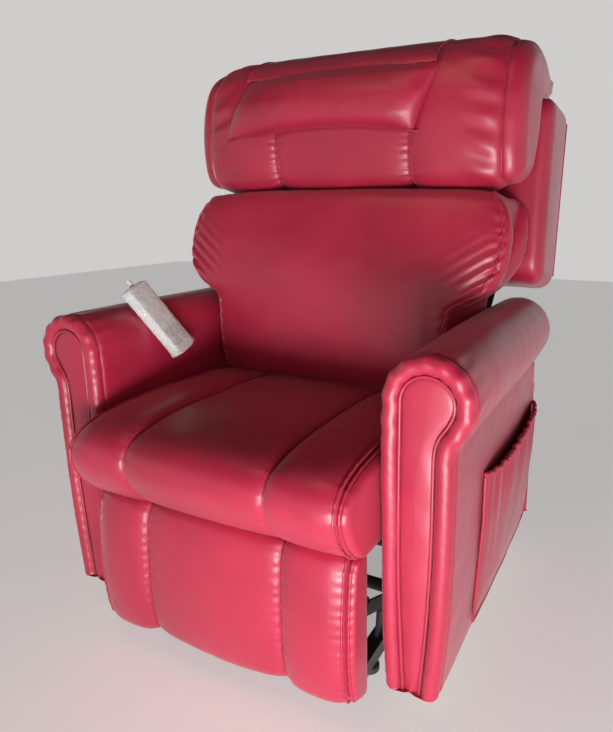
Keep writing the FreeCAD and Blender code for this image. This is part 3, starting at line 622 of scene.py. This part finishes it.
pad = rise[None, :] * np.clip((0.48 - loop[:, 0]) / 0.06, 0.1, 1)[:, None]
pad = pad - rounded_end(shares, share_end, 1.0, 0.020)[None, :]
pad -= 0.0035 * np.exp(-np.abs(np.abs(shares) - share_end) / 0.012)[None, :]
pad += 0.0028 * wander(grid, 7.0, 2.0) + 0.0009 * wander(grid, 26.0, 8.0)
folds = np.exp(-((np.abs(grid[:, :, 0]) - 0.345) / 0.05) ** 2)
folds = folds * np.exp(-((grid[:, :, 2] - 0.70) / 0.055) ** 2)
pad += 0.0055 * folds * np.sin((grid[:, :, 2] * 0.9 - np.abs(grid[:, :, 0]) * 0.6) * 2 * pi / 0.021)
gather = np.exp(-((np.abs(shares) - share_end + 0.02) / 0.022) ** 2)[None, :]
pad += 0.0024 * gather * np.sin(loop[:, 1] * 2 * pi / 0.019 + 1.5 * np.sin(loop[:, 1] * 90))[:, None]
lower, lower_points = cushion("lower_back_pad", "back", loop, shares, pad, half=half,
                              dome=0.012, replaces=("lower_back_cushion",))
lower_normals = loop_normals(loop)
lower_rows = front_rows(loop, lambda y, z: y < 0.46 and z > 0.45)
for side in (-1, 1):
    path = lower_points[lower_rows, column(shares, side * share_end)]
    path = smooth_line(path + lower_normals[lower_rows] * 0.002, 220)
    path[:, 0] += side * 0.0016 * np.sin(np.arange(220) * 0.55)
    tube("lower_back_piping_" + ("left" if side < 0 else "right"), path, 0.0026, "back")

HEAD_SIDE = [(0.560, 0.868), (0.50, 0.8605), (0.468, 0.863), (0.450, 0.876), (0.439, 0.905), (0.434, 0.95),
             (0.4365, 1.00), (0.444, 1.04), (0.458, 1.078), (0.480, 1.108), (0.515, 1.131), (0.56, 1.1435),
             (0.605, 1.146), (0.66, 1.134), (0.715, 1.108), (0.744, 1.084), (0.749, 1.066), (0.735, 1.059),
             (0.66, 1.058), (0.612, 1.045), (0.60, 0.97), (0.585, 0.90)]
loop = smooth_line(HEAD_SIDE, 190, closed=True)
HEAD_SEAM = 0.160
HEAD_END = 0.345
HEAD_WIDE = 0.386
across = stations(HEAD_WIDE, (-HEAD_END, -HEAD_SEAM, HEAD_SEAM, HEAD_END))
grid = spread(loop, across)
run = run_along(loop)
rise = puff(np.clip(across, -HEAD_END, HEAD_END), (-HEAD_END, -HEAD_SEAM, HEAD_SEAM, HEAD_END), 0.0125)
drop = sum(-0.0055 * np.exp(-np.abs(across - s) / 0.005)
           for s in (-HEAD_END, -HEAD_SEAM, HEAD_SEAM, HEAD_END))
visible = np.clip((0.70 - loop[:, 0]) / 0.08, 0.15, 1)
under = (loop[:, 1] < 1.056) & (loop[:, 0] > 0.53)
visible = np.where(under, 0.1, visible)
pad = (rise + drop)[None, :] * visible[:, None]
pad = pad - rounded_end(across, HEAD_END + 0.003, HEAD_WIDE, 0.034)[None, :]
for s in (-HEAD_SEAM, HEAD_SEAM):
    away = np.abs(across - s)
    ruck = np.exp(-((away - 0.008) / 0.010) ** 2)[None, :]
    phase = run[:, None] * 2 * pi / 0.0135 + 1.6 * wander(grid * [0, 1, 1], 30.0, s)
    pad += 0.0021 * ruck * np.sin(phase) * visible[:, None]
for s in (-1, 1):
    toward = np.exp(-((s * across - HEAD_END + 0.035) / 0.03) ** 2)[None, :]
    wave = np.sin(run[:, None] * 2 * pi / 0.052 + s * across[None, :] * 38 + 1.2 * wander(grid, 12.0, 4 + s))
    pad += 0.0030 * toward * wave * visible[:, None]
pad += 0.0020 * wander(grid, 8.0, 11.0) + 0.0007 * wander(grid, 30.0, 17.0)
headrest, head_points = cushion("headrest_pad", "back", loop, across, pad, dome=0.007,
                                replaces=("headrest_cushion",))
head_normals = loop_normals(loop)
head_rows = front_rows(loop, lambda y, z: not ((z < 1.062 and y > 0.53) or y > 0.735))
stitching("headrest_stitches",
          [sewn_line(head_points, head_normals, head_rows, across, s * HEAD_SEAM + d, 0.0006)
           for s in (-1, 1) for d in STITCH_ROWS], "back")
for side in (-1, 1):
    path = head_points[head_rows, column(across, side * HEAD_END)] + head_normals[head_rows] * 0.0015
    tube("headrest_piping_" + ("left" if side < 0 else "right"), smooth_line(path, 240), 0.0012, "back")


# ---- back shell -----------------------------------------------------------------------------
WING_LOW, WING_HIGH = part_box("back_wing_cover")
WING_CORNERS = {"front_low": (0.575, 0.655), "front_top": (0.612, 1.050),
                "rear_top": (0.832, 1.042), "rear_low": (0.763, 0.616)}
WING_HALF = (WING_HIGH.x - WING_LOW.x) / 2
outline = []
order = ("front_low", "front_top", "rear_top", "rear_low")
for i, name in enumerate(order):
    p = np.array(WING_CORNERS[name])
    before = np.array(WING_CORNERS[order[i - 1]])
    after = np.array(WING_CORNERS[order[(i + 1) % 4]])
    radius = 0.056
    a = p + (before - p) / np.linalg.norm(before - p) * radius
    b = p + (after - p) / np.linalg.norm(after - p) * radius
    outline += [a * (1 - t) ** 2 + p * 2 * t * (1 - t) + b * t * t for t in np.linspace(0, 1, 8)]
outline.append(outline[0])
outline = np.array(outline)
run = run_along(outline)
at = np.linspace(0, run[-1], 170, endpoint=False)
loop = np.stack([np.interp(at, run, outline[:, k]) for k in range(2)], axis=1)
side_round = 0.034
core = np.linspace(-(WING_HALF - side_round), WING_HALF - side_round, 60)
turn = np.linspace(0, pi / 2, 9)[1:]
across = np.concatenate([-(WING_HALF - side_round) - side_round * np.sin(turn[::-1]), core,
                         WING_HALF - side_round + side_round * np.sin(turn)])
draw_in = np.concatenate([side_round * (1 - np.cos(turn[::-1])), np.zeros(60),
                          side_round * (1 - np.cos(turn))])
grid = spread(loop, across)
pad = -draw_in[None, :] + 0.0016 * wander(grid, 8.0, 23.0) + 0.0006 * wander(grid, 30.0, 29.0) - 0.001
front_face = np.clip((0.66 - loop[:, 0]) / 0.04, 0, 1)[:, None]
pad += 0.0035 * front_face * np.exp(-((np.abs(across) - 0.395) / 0.012) ** 2)[None, :]
wing, _ = cushion("back_shell_cover", "back", loop, across, pad, dome=0.002,
                            replaces=("back_wing_cover",), cap_steps=(0.96, 0.88, 0.75, 0.6, 0.4, 0.2))
for side in (-1, 1):
    low, high = np.array((0.742, 0.640)), np.array((0.806, 1.022))
    path = [(side * (WING_HALF - 0.001), ARM_FACE + y, z)
            for y, z in smooth_line([low + (0.004, 0.014), (low + high) / 2, high - (0.004, 0.016)], 80)]
    tube("back_shell_seam_" + ("left" if side < 0 else "right"), path, 0.0021, "back")


# ---- arms -----------------------------------------------------------------------------------
ARM_LOW, ARM_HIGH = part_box("right_arm_cover")
ROLL_X, ROLL_Z, ROLL_R = 0.362, 0.550, 0.071
STEM_OUTER = 0.404
ARM_BOTTOM = ARM_LOW.z
ARM_DEEP = ARM_HIGH.y - ARM_FACE


def arm_outline(count):
    """Right arm seen from the front: up the inner side, round the scroll, down the outer side."""
    points = [(0.3015, ARM_BOTTOM), (0.2965, 0.16), (0.292, 0.26), (0.2905, 0.36), (0.2905, 0.46)]
    for angle in np.linspace(pi, -0.42, 24):
        points.append((ROLL_X + ROLL_R * cos(angle), ROLL_Z + ROLL_R * sin(angle)))
    points += [(0.4175, 0.503), (0.4085, 0.490), (0.4045, 0.474), (0.404, 0.44), (0.404, 0.36),
               (0.4025, 0.28), (0.397, 0.17), (0.389, ARM_BOTTOM)]
    return smooth_line(points, count)


def open_normals(line):
    t = np.gradient(line, axis=0)
    t /= np.linalg.norm(t, axis=1)[:, None]
    return np.stack([-t[:, 1], t[:, 0]], axis=1)


def arm_cover(side):
    """One skin from the hollow of the front border, over the bull-nose and back to the rear."""
    label = "right" if side > 0 else "left"
    line = arm_outline(190)
    normal = open_normals(line)
    profile = []
    for a in np.linspace(0, pi, 17):                        # a: 0 at the outside, pi inside the border
        profile.append((0.0170 - 0.0170 * sin(a), 0.0145 - 0.0145 * cos(a)))
    profile = profile[::-1]                                 # starts deep inside the border
    profile = [(0.030, 0.0315), (0.022, 0.0300)] + profile + [(0.019, -0.0012), (0.0205, -0.0030)]
    profile += [(0.022, -0.0034), (0.0235, -0.0026), (0.026, -0.0008), (0.030, 0.0)]
    body_depths = np.linspace(0.040, ARM_DEEP - 0.050, 52)
    profile += [(d, 0.0) for d in body_depths]
    for a in np.linspace(0, pi / 2, 12)[1:]:
        profile.append((ARM_DEEP - 0.040 + 0.040 * sin(a), 0.040 * (1 - cos(a))))
    profile += [(ARM_DEEP, 0.046), (ARM_DEEP, 0.052)]
    profile = np.array(profile)
    n, m = len(line), len(profile)
    inset = np.abs(np.broadcast_to(profile[:, 1], (n, m)))
    depth = np.broadcast_to(profile[:, 0], (n, m))
    x = line[:, 0][:, None] - normal[:, 0][:, None] * inset
    z = line[:, 1][:, None] - normal[:, 1][:, None] * inset
    grid = np.stack([x, ARM_FACE + depth, z], axis=2)
    flat_normal = np.stack([normal[:, 0], np.zeros(n), normal[:, 1]], axis=1)[:, None, :]
    run = run_along(line)
    angle = np.arctan2(line[:, 1] - ROLL_Z, line[:, 0] - ROLL_X)
    on_scroll = np.clip((line[:, 1] - 0.478) / 0.02, 0, 1)
    bump = 0.0022 * wander(grid, 7.0, 31.0 * side) + 0.0007 * wander(grid, 32.0, 37.0)
    border = np.exp(-((profile[:, 0] - 0.006) / 0.012) ** 2)[None, :] * (profile[:, 0] < 0.03)[None, :]
    tucks = np.sin(run * 2 * pi / 0.034 + 0.8 * np.sin(run * 21))[:, None]
    bump += 0.0013 * border * on_scroll[:, None] * tucks
    bump += 0.0006 * border * (1 - on_scroll[:, None]) * np.sin(run * 2 * pi / 0.021)[:, None]
    behind = np.exp(-((profile[:, 0] - 0.045) / 0.022) ** 2)[None, :]
    bump += 0.0012 * behind * on_scroll[:, None] * np.sin(run * 2 * pi / 0.026 + 1.3)[:, None]
    under_scroll = np.exp(-((line[:, 1] - 0.483) / 0.010) ** 2) * (line[:, 0] > 0.385)
    bump -= 0.0030 * under_scroll[:, None] * np.clip((profile[:, 0] - 0.03) / 0.02, 0, 1)[None, :]
    roll_crown = 0.0030 * np.clip(np.sin(angle), 0, 1) * on_scroll
    along = np.clip((profile[:, 0] - 0.03) / (ARM_DEEP - 0.07), 0, 1)
    bump += roll_crown[:, None] * np.sin(along * pi)[None, :]
    cross = np.exp(-((line[:, 1] - 0.4695) / 0.0022) ** 2) * (line[:, 0] > 0.36)
    bump -= 0.0035 * cross[:, None] * (profile[:, 0] < 0.021)[None, :]
    grid += flat_normal * bump[:, :, None]
    grid[:, :, 1] -= 0.0008 * border * on_scroll[:, None] * tucks
    grid[:, :, 0] *= side
    verts = list(grid.reshape(-1, 3))
    faces = grid_faces(n, m)
    if side > 0:
        faces = [f[::-1] for f in faces]
    start = len(verts)
    last = grid[:, m - 1]
    centre_line = np.stack([np.full(n, side * (ROLL_X - 0.012)), last[:, 1], last[:, 2]], axis=1)
    centre_line[:, 2] = np.minimum(centre_line[:, 2], ROLL_Z)
    verts += list(last * 0.5 + centre_line * 0.5) + list(centre_line)
    for i in range(n - 1):
        a, b = i * m + m - 1, (i + 1) * m + m - 1
        for f in ((a, b, start + i + 1, start + i),
                  (start + i, start + i + 1, start + n + i + 1, start + n + i)):
            faces.append(f if side < 0 else f[::-1])
    low_start = len(verts)                                   # tacked under along the bottom
    for row in (0, n - 1):
        for step in (0.006, 0.018):
            sign = 1 if row == 0 else -1
            ring = grid[row].copy()
            ring[:, 0] += side * sign * step
            ring[:, 2] += 0.001 + step * 0.1
            verts += list(ring)
    for k, row in enumerate((0, n - 1)):
        first = low_start + k * 2 * m
        for j in range(m - 1):
            for a0, b0 in ((row * m, first), (first, first + m)):
                faces.append((a0 + j, a0 + j + 1, b0 + j + 1, b0 + j))
    obj = make(label + "_arm_upholstery", verts, faces, "chassis",
               replaces=(label + "_arm_cover", label + "_arm_front_border"))
    fix_normals(obj)
    subdivided(obj)
    return grid, line, normal, profile


def arm_front_panel(side):
    """The flat, lightly padded panel inside the border."""
    label = "right" if side > 0 else "left"
    line = arm_outline(190)
    normal = open_normals(line)
    rings, depths = [], []
    for inset, depth in ((0.0292, 0.020), (0.0300, 0.0135), (0.0315, 0.0105), (0.0345, 0.0088),
                         (0.0385, 0.0078)):
        rings.append(line - normal * inset)
        depths.append(depth)
    spine = np.stack([np.full(len(line), 0.3468), np.clip(line[:, 1], ARM_BOTTOM, 0.545)], axis=1)
    spine[:, 0] = 0.3468 + (0.364 - 0.3468) * np.clip((spine[:, 1] - 0.44) / 0.09, 0, 1)
    base = rings[-1].copy()
    for share, depth in ((0.3, 0.0068), (0.6, 0.0061), (0.85, 0.0058), (1.0, 0.0057)):
        rings.append(base * (1 - share) + spine * share)
        depths.append(depth)
    n, m = len(line), len(rings)
    grid = np.zeros((n, m, 3))
    for j, (ring, depth) in enumerate(zip(rings, depths)):
        grid[:, j, 0], grid[:, j, 1], grid[:, j, 2] = ring[:, 0], ARM_FACE + depth, ring[:, 1]
    grid[:, :, 1] += 0.0012 * wander(grid, 22.0, 41.0 * side)
    grid[:, :, 0] *= side
    faces = grid_faces(n, m)
    obj = make(label + "_arm_panel", grid.reshape(-1, 3), faces, "chassis",
               replaces=(label + "_arm_front_panel",))
    fix_normals(obj)
    if sum(p.normal.y for p in obj.data.polygons) > 0:
        obj.data.flip_normals()
    subdivided(obj)
    path = [(side * p[0], ARM_FACE + 0.0075, p[1]) for p in smooth_line(line - normal * 0.0305, 200)]
    tube(label + "_arm_panel_piping", path, 0.0024, "chassis")


for side in (1, -1):
    arm_grid, arm_line, _, arm_profile = arm_cover(side)
    arm_front_panel(side)
    label = "right" if side > 0 else "left"
    ridge = [i for i, p in enumerate(arm_line) if p[1] > 0.50]
    cord = np.array([arm_grid[i, list(arm_profile[:, 0]).index(0.022)] for i in ridge])
    tube(label + "_arm_piping", smooth_line(cord, 160), 0.0020, "chassis")
    rear_seam = [(side * (STEM_OUTER + 0.0006 - max(0, (0.30 - z)) * 0.055), ARM_FACE + ARM_DEEP - 0.056, z)
                 for z in np.linspace(ARM_BOTTOM + 0.004, 0.478, 60)]
    tube(label + "_arm_rear_seam", rear_seam, 0.0017, "chassis")


# ---- pocket on the right arm ----------------------------------------------------------------
POCKET_LOW, POCKET_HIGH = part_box("side_pocket")


def side_pocket():
    rows, columns = 70, 110
    width, height = POCKET_HIGH.y - POCKET_LOW.y, POCKET_HIGH.z - POCKET_LOW.z
    points = []
    for i in range(rows):
        v = i / (rows - 1)
        for j in range(columns):
            u = j / (columns - 1)
            edge = min(u, 1 - u)
            belly = (1 - (2 * u - 1) ** 4) ** 0.7 * (0.25 + 0.75 * min(1, v * 5) ** 0.6)
            out = 0.0035 + 0.0175 * belly * (0.62 + 0.38 * v)
            soft = noise.noise(Vector((u * 5, v * 3, 7.0)))
            folds = sin(u * 2 * pi * 17 + 2.4 * sin(u * 23) + soft * 2)
            out += 0.0026 * folds * min(1, edge * 9) * v ** 2.2 + 0.0022 * soft * min(1, edge * 7)
            sag = 0.010 * (1 - (2 * u - 1) ** 2) * v ** 2
            z = POCKET_LOW.z + 0.002 + (height - 0.010) * v - sag
            stem = STEM_OUTER - max(0, 0.30 - z) * 0.055
            points.append((stem + max(out, 0.0015), POCKET_LOW.y + 0.002 + (width - 0.004) * u, z))
    faces = grid_faces(rows, columns)
    obj = make("pocket_front", points, faces, "chassis", replaces=("side_pocket",))
    fix_normals(obj)
    if sum(p.normal.x for p in obj.data.polygons) < 0:
        obj.data.flip_normals()
    solid = obj.modifiers.new("thickness", "SOLIDIFY")
    solid.thickness, solid.offset = 0.0022, -1
    subdivided(obj)
    top = [points[(rows - 1) * columns + j] for j in range(columns)]
    path = smooth_line([(p[0] - 0.0012, p[1], p[2] + 0.002 + 0.0008 * sin(j * 1.9))
                        for j, p in enumerate(top)], 330)
    swell = 0.0036 + 0.0007 * np.sin(np.arange(330) * 1.25) + 0.0003 * np.sin(np.arange(330) * 0.37)
    tube("pocket_elastic_top", path, swell, "chassis", sides=12)
    for name, column_at in (("front", 0), ("rear", columns - 1)):
        path = [(points[i * columns + column_at][0] + 0.001, points[i * columns + column_at][1],
                 points[i * columns + column_at][2]) for i in range(rows)]
        tube("pocket_piping_" + name, path, 0.0026, "chassis")
    path = [(points[j][0] + 0.0005, points[j][1], points[j][2]) for j in range(columns)]
    tube("pocket_piping_bottom", path, 0.0024, "chassis")


side_pocket()


# ---- rear panel -----------------------------------------------------------------------------
def flat_panel(name, node, body, bulge, axis_sign, rows=40, columns=60):
    """A tacked cloth panel: flat at its edges and a little full in the middle."""
    low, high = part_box(node)
    points = []
    for i in range(rows):
        v = i / (rows - 1)
        for j in range(columns):
            u = j / (columns - 1)
            full = min(1, min(u, 1 - u) * 14, min(v, 1 - v) * 9)
            ripple = noise.noise(Vector((u * 6, v * 5, 3.0)))
            y = high.y - 0.0052 + bulge * full + 0.0015 * ripple * full
            points.append((low.x + (high.x - low.x) * u, y, low.z + (high.z - low.z) * v))
    obj = make(name, points, grid_faces(rows, columns), body, replaces=(node,))
    fix_normals(obj)
    if sum(p.normal.y for p in obj.data.polygons) * axis_sign < 0:
        obj.data.flip_normals()
    solid = obj.modifiers.new("thickness", "SOLIDIFY")
    solid.thickness, solid.offset = 0.0024, -1
    subdivided(obj)
    return obj


panel = flat_panel("rear_skirt", "rear_panel", "chassis", 0.004, 1)
panel_low, panel_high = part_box("rear_panel")
for z in (panel_low.z + 0.004, panel_high.z - 0.004):
    tube(f"rear_skirt_piping_{int(z * 1000)}",
         [(x, panel_high.y - 0.004, z) for x in np.linspace(panel_low.x, panel_high.x, 40)],
         0.0024, "chassis")


# ---- head pillow ----------------------------------------------------------------------------
def pillow_outline(u, v):
    """x and height of the pillow's cover: u across from -1 to 1, v up from 0 to 1."""
    low_x = -0.057 + 0.229 * u
    top_x = -0.003 + 0.226 * u
    arch = 0.014 * (1 - u * u)
    low_z, top_z = 0.966 + arch, 1.102 + 0.010 * (1 - u * u)
    return low_x + (top_x - low_x) * v, low_z + (top_z - low_z) * v


def head_front(x, z):
    """Depth of the headrest's front below the pillow."""
    heights = np.array([p[1] for p in HEAD_SIDE[3:13]])
    depths = np.array([p[0] for p in HEAD_SIDE[3:13]])
    return float(np.interp(z, heights, depths)) - 0.012


def head_pillow():
    rows, columns = 54, 96
    front, rear = [], []
    for i in range(rows):
        v = i / (rows - 1)
        for j in range(columns):
            u = 2 * j / (columns - 1) - 1
            x, z = pillow_outline(u, v)
            full = (1 - abs(u) ** 4) ** 0.5 * (1 - (1 - v) ** 5) ** 0.5 * (1 - v ** 2.6) ** 0.6
            ripple = sin(u * 34 + 3 * noise.noise(Vector((u * 3, 1.0, 0.0))))
            ripple = ripple * (1 - v) ** 7 * (1 - u * u) * 0.5
            broad = noise.noise(Vector((u * 2.2, v * 2.0, 5.0)))
            creases = noise.noise(Vector((u * 9 + v * 4, v * 6, 9.0)))
            corner = max(0, abs(u) - 0.72) / 0.28
            pull = sin((v * 7 - u * 6) * 1.6) * corner * 0.0028 * (4 * v * (1 - v)) ** 0.5
            lift = (0.044 * full + 0.0016 * ripple + 0.0030 * broad * full + 0.0009 * creases * full
                    + 0.5 * pull)
            y = head_front(x, z) + 0.001
            front.append((x, ARM_FACE + y - 0.003 - max(lift, 0), z))
            rear.append((x, ARM_FACE + y, z))
    count = rows * columns
    faces = grid_faces(rows, columns)
    faces += [tuple(count + k for k in f[::-1]) for f in faces]
    rim = ([j for j in range(columns)] + [i * columns + columns - 1 for i in range(1, rows)]
           + [(rows - 1) * columns + j for j in range(columns - 2, -1, -1)]
           + [i * columns for i in range(rows - 2, 0, -1)])
    for a, b in zip(rim, rim[1:] + rim[:1]):
        faces.append((a, b, count + b, count + a))
    obj = make("head_pillow_cover", front + rear, faces, "pillow", replaces=("head_pillow",))
    fix_normals(obj)
    subdivided(obj)
    lower = [Vector(front[j]) + Vector((0, -0.0015, -0.001)) for j in range(columns)]
    tube("head_pillow_seam", smooth_line(lower, 240), 0.0014, "pillow")
    ear = np.array(front[columns - 1])
    tip = [ear + (-0.012, -0.001, 0.003), ear + (0.004, -0.003, -0.002), ear + (0.013, -0.002, -0.001)]
    tube("head_pillow_corner", smooth_line(tip, 20), np.linspace(0.0045, 0.0010, 20), "pillow", sides=10)


head_pillow()


def pillow_flap():
    """The strap of vinyl that hangs over the headrest and holds the pillow."""
    rows, columns = 60, 60
    over = smooth_line([(0.440, 1.096), (0.452, 1.113), (0.478, 1.132), (0.515, 1.148), (0.56, 1.158),
                        (0.605, 1.1592), (0.65, 1.152), (0.692, 1.136)], rows)
    points = []
    for i in range(rows):
        v = i / (rows - 1)
        for j in range(columns):
            u = 2 * j / (columns - 1) - 1
            x = -0.013 + 0.2215 * u
            rise = 0.0016 * noise.noise(Vector((u * 4, v * 5, 2.0))) - 0.0012 * abs(u) ** 8
            tuck = sin(u * 46) * 0.0012 * max(0, 1 - v * 5)
            points.append((x, ARM_FACE + over[i][0], over[i][1] - 0.001 + rise + tuck))
    obj = make("head_pillow_strap", points, grid_faces(rows, columns), "pillow",
               replaces=("head_pillow_flap",))
    fix_normals(obj)
    if sum(p.normal.z for p in obj.data.polygons) < 0:
        obj.data.flip_normals()
    solid = obj.modifiers.new("thickness", "SOLIDIFY")
    solid.thickness, solid.offset = 0.0030, -1
    subdivided(obj)
    for side in (0, columns - 1):
        path = [points[i * columns + side] for i in range(rows)]
        tube("head_pillow_strap_hem_" + ("left" if side == 0 else "right"), path, 0.0021, "pillow")


pillow_flap()


# ---- handset: printed key outlines, symbols and its clear sleeve ----------------------------
SHELL = NODES["handset_front_shell"].data
REAR_SHELL = NODES["handset_rear_shell"].data
HAND_SLOPE, HAND_TWIST = radians(60), radians(18.8)
HAND_OUT = Vector((sin(HAND_SLOPE), 0, cos(HAND_SLOPE)))
HAND_DOWN = Vector((cos(HAND_SLOPE) * cos(HAND_TWIST), sin(HAND_TWIST), -sin(HAND_SLOPE) * cos(HAND_TWIST)))
HAND_ACROSS = HAND_OUT.cross(HAND_DOWN)
corners = [v.co for v in SHELL.vertices] + [v.co for v in REAR_SHELL.vertices]


def span(axis):
    reach = [c @ axis for c in corners]
    return min(reach), max(reach)


across_span, down_span, out_span = span(HAND_ACROSS), span(HAND_DOWN), span(HAND_OUT)
HAND_MIDDLE = (HAND_ACROSS * sum(across_span) / 2 + HAND_DOWN * sum(down_span) / 2 + HAND_OUT * out_span[0])
HAND_THICK = out_span[1] - out_span[0]


def on_hand(x, y, out):
    """A point on the handset: x across, y towards its foot, out from its rear face."""
    return HAND_MIDDLE + HAND_ACROSS * x + HAND_DOWN * y + HAND_OUT * out


def key_centre(node):
    low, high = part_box(node)
    middle = (low + high) / 2 - HAND_MIDDLE
    return middle @ HAND_ACROSS, middle @ HAND_DOWN


KEYS = {name: key_centre(name) for name in ("legs_down_button", "legs_up_button", "back_down_button",
                                            "back_up_button")}


def key_frames():
    for row, names in (("legs", ("legs_down_button", "legs_up_button")),
                       ("back", ("back_down_button", "back_up_button"))):
        xs = [KEYS[n][0] for n in names]
        y = KEYS[names[0]][1]
        x0, x1, tall = min(xs) - 0.0095, max(xs) + 0.0095, 0.0082
        corner = 0.0025
        loop = []
        for cx, cy, start in ((x1 - corner, y + tall - corner, 0), (x0 + corner, y + tall - corner, 90),
                              (x0 + corner, y - tall + corner, 180), (x1 - corner, y - tall + corner, 270)):
            for a in range(0, 91, 15):
                w = radians(start + a)
                loop.append(on_hand(cx + corner * cos(w), cy + corner * sin(w), HAND_THICK + 0.0001))
        loop.append(loop[0])
        tube(f"handset_{row}_outline", loop, 0.00055, "handset", INK, sides=6)


def key_symbols():
    """A small seat shape and an arrow on each key."""
    for name, (cx, cy) in KEYS.items():
        up = 1 if "_up_" in name else -1
        strokes = [[(-0.0045, 0.0028), (-0.0035, 0.0), (-0.0035, -0.003)], [(-0.0035, 0.0), (0.001, 0.0005)],
                   [(0.0035, 0.003 * up), (0.0035, -0.003 * up)],
                   [(0.0020, 0.0012 * up), (0.0035, 0.003 * up), (0.0050, 0.0012 * up)]]
        if name.startswith("legs"):
            strokes[1] = [(-0.0035, 0.0), (-0.0005, 0.0), (0.0012, -0.0022)]
        for k, stroke in enumerate(strokes):
            path = smooth_line([on_hand(cx + p, cy - q, HAND_THICK + 0.00105) for p, q in stroke], 8) \
                if len(stroke) > 2 else [on_hand(cx + p, cy - q, HAND_THICK + 0.00105) for p, q in stroke]
            tube(f"{name}_mark_{k + 1}", path, 0.00042, name, INK, sides=5)


def clear_sleeve():
    """A loose clear bag round the handset."""
    half_w = (across_span[1] - across_span[0]) / 2 + 0.004
    half_l = (down_span[1] - down_span[0]) / 2 - 0.004
    rings, around = 56, 64
    points = []
    for i in range(rings):
        v = -1 + 2 * i / (rings - 1)
        flare = 0.003 * max(0, abs(v) - 0.8) / 0.2
        for k in range(around):
            w = 2 * pi * k / around
            cx, cy = cos(w), sin(w)
            px = (abs(cx) ** 0.55) * (1 if cx > 0 else -1) * (half_w + flare)
            po = (abs(cy) ** 0.6) * (1 if cy > 0 else -1) * (HAND_THICK / 2 + 0.0022)
            crease = noise.noise(Vector((v * 9, cx * 2.5, cy * 2.5)))
            fine = noise.noise(Vector((v * 26, cx * 5, cy * 5 + 3)))
            grow = 1 + 0.055 * crease + 0.02 * fine
            out = HAND_THICK / 2 + po * (grow if cy > 0 else 1)
            points.append(on_hand(px * (1 + 0.03 * crease), v * half_l + 0.003 * crease, max(out, -0.0001)))
    faces = []
    for i in range(rings - 1):
        for k in range(around):
            j = (k + 1) % around
            faces.append((i * around + k, i * around + j, (i + 1) * around + j, (i + 1) * around + k))
    obj = make("handset_clear_sleeve", points, faces, "handset", FILM)
    fix_normals(obj)
    subdivided(obj)
    girth = 2 * (2 * half_w + HAND_THICK)
    2 * half_l


key_frames()
key_symbols()
clear_sleeve()


# ---- floor, light and camera ----------------------------------------------------------------
def backdrop():
    paint = Paint("pale_floor", (0.80, 0.79, 0.78), 0.6, Emission_Strength=0.36)
    paint.shader.inputs["Emission Color"].default_value = (1, 0.98, 0.98, 1)
    paint.set(Roughness=paint.noise(3.0) * 0.2 + 0.5)
    mesh = bpy.data.meshes.new("studio_floor")
    mesh.from_pydata([(-6, -6, 0), (6, -6, 0), (6, 6, 0), (-6, 6, 0)], [], [(0, 1, 2, 3)])
    floor = bpy.data.objects.new("studio_floor", mesh)
    mesh.materials.append(paint.material)
    bpy.context.scene.collection.objects.link(floor)


def lamp(name, place, aim, size, watts, colour):
    light = bpy.data.lights.new(name, "AREA")
    light.shape, light.size, light.size_y = "RECTANGLE", size[0], size[1]
    light.energy, light.color = watts, colour
    obj = bpy.data.objects.new(name, light)
    obj.location = place
    obj.rotation_euler = (Vector(aim) - Vector(place)).to_track_quat("-Z", "Y").to_euler()
    bpy.context.scene.collection.objects.link(obj)


def world():
    """A pale horizon all round under a dark ceiling."""
    scene_world = bpy.data.worlds.new("studio")
    bpy.context.scene.world = scene_world
    scene_world.use_nodes = True
    tree = scene_world.node_tree
    background = tree.nodes["Background"]
    background.inputs["Color"].default_value = (1.0, 0.985, 0.98, 1)
    where = tree.nodes.new("ShaderNodeTexCoord")
    split = tree.nodes.new("ShaderNodeSeparateXYZ")
    fade = tree.nodes.new("ShaderNodeMapRange")
    fade.interpolation_type = "SMOOTHSTEP"
    for socket, value in (("From Min", 0.30), ("From Max", 0.48), ("To Min", 0.62), ("To Max", 0.0)):
        fade.inputs[socket].default_value = value
    tree.links.new(where.outputs["Generated"], split.inputs["Vector"])
    tree.links.new(split.outputs["Z"], fade.inputs["Value"])
    tree.links.new(fade.outputs["Result"], background.inputs["Strength"])


def camera():
    data = bpy.data.cameras.new("camera")
    data.lens, data.sensor_width, data.sensor_fit = 29.37, 36.0, "AUTO"
    data.shift_x, data.shift_y = -0.0789, -0.0325
    turn, pitch, roll = radians(25.983), radians(12.813), radians(-0.135)
    ahead = Vector((-sin(turn) * cos(pitch), cos(turn) * cos(pitch), -sin(pitch)))
    obj = bpy.data.objects.new("camera", data)
    obj.location = (0.6298, ARM_FACE - 0.7396, 0.8194)
    facing = ahead.to_track_quat("-Z", "Y")
    obj.rotation_mode = "QUATERNION"
    obj.rotation_quaternion = facing @ Quaternion((0, 0, 1), roll)
    bpy.context.scene.collection.objects.link(obj)
    bpy.context.scene.camera = obj


backdrop()
world()
lamp("front_soft", (0.95, -1.60, 0.16), (0.22, -0.3, 0.16), (0.9, 0.3), 30, (1.0, 0.96, 1.0))
lamp("ceiling_warm", (-0.25, -0.85, 2.4), (0, 0.0, 0.7), (0.9, 0.6), 3.5, (1.0, 0.70, 0.42))
camera()
bpy.context.scene.view_settings.view_transform = "Standard"
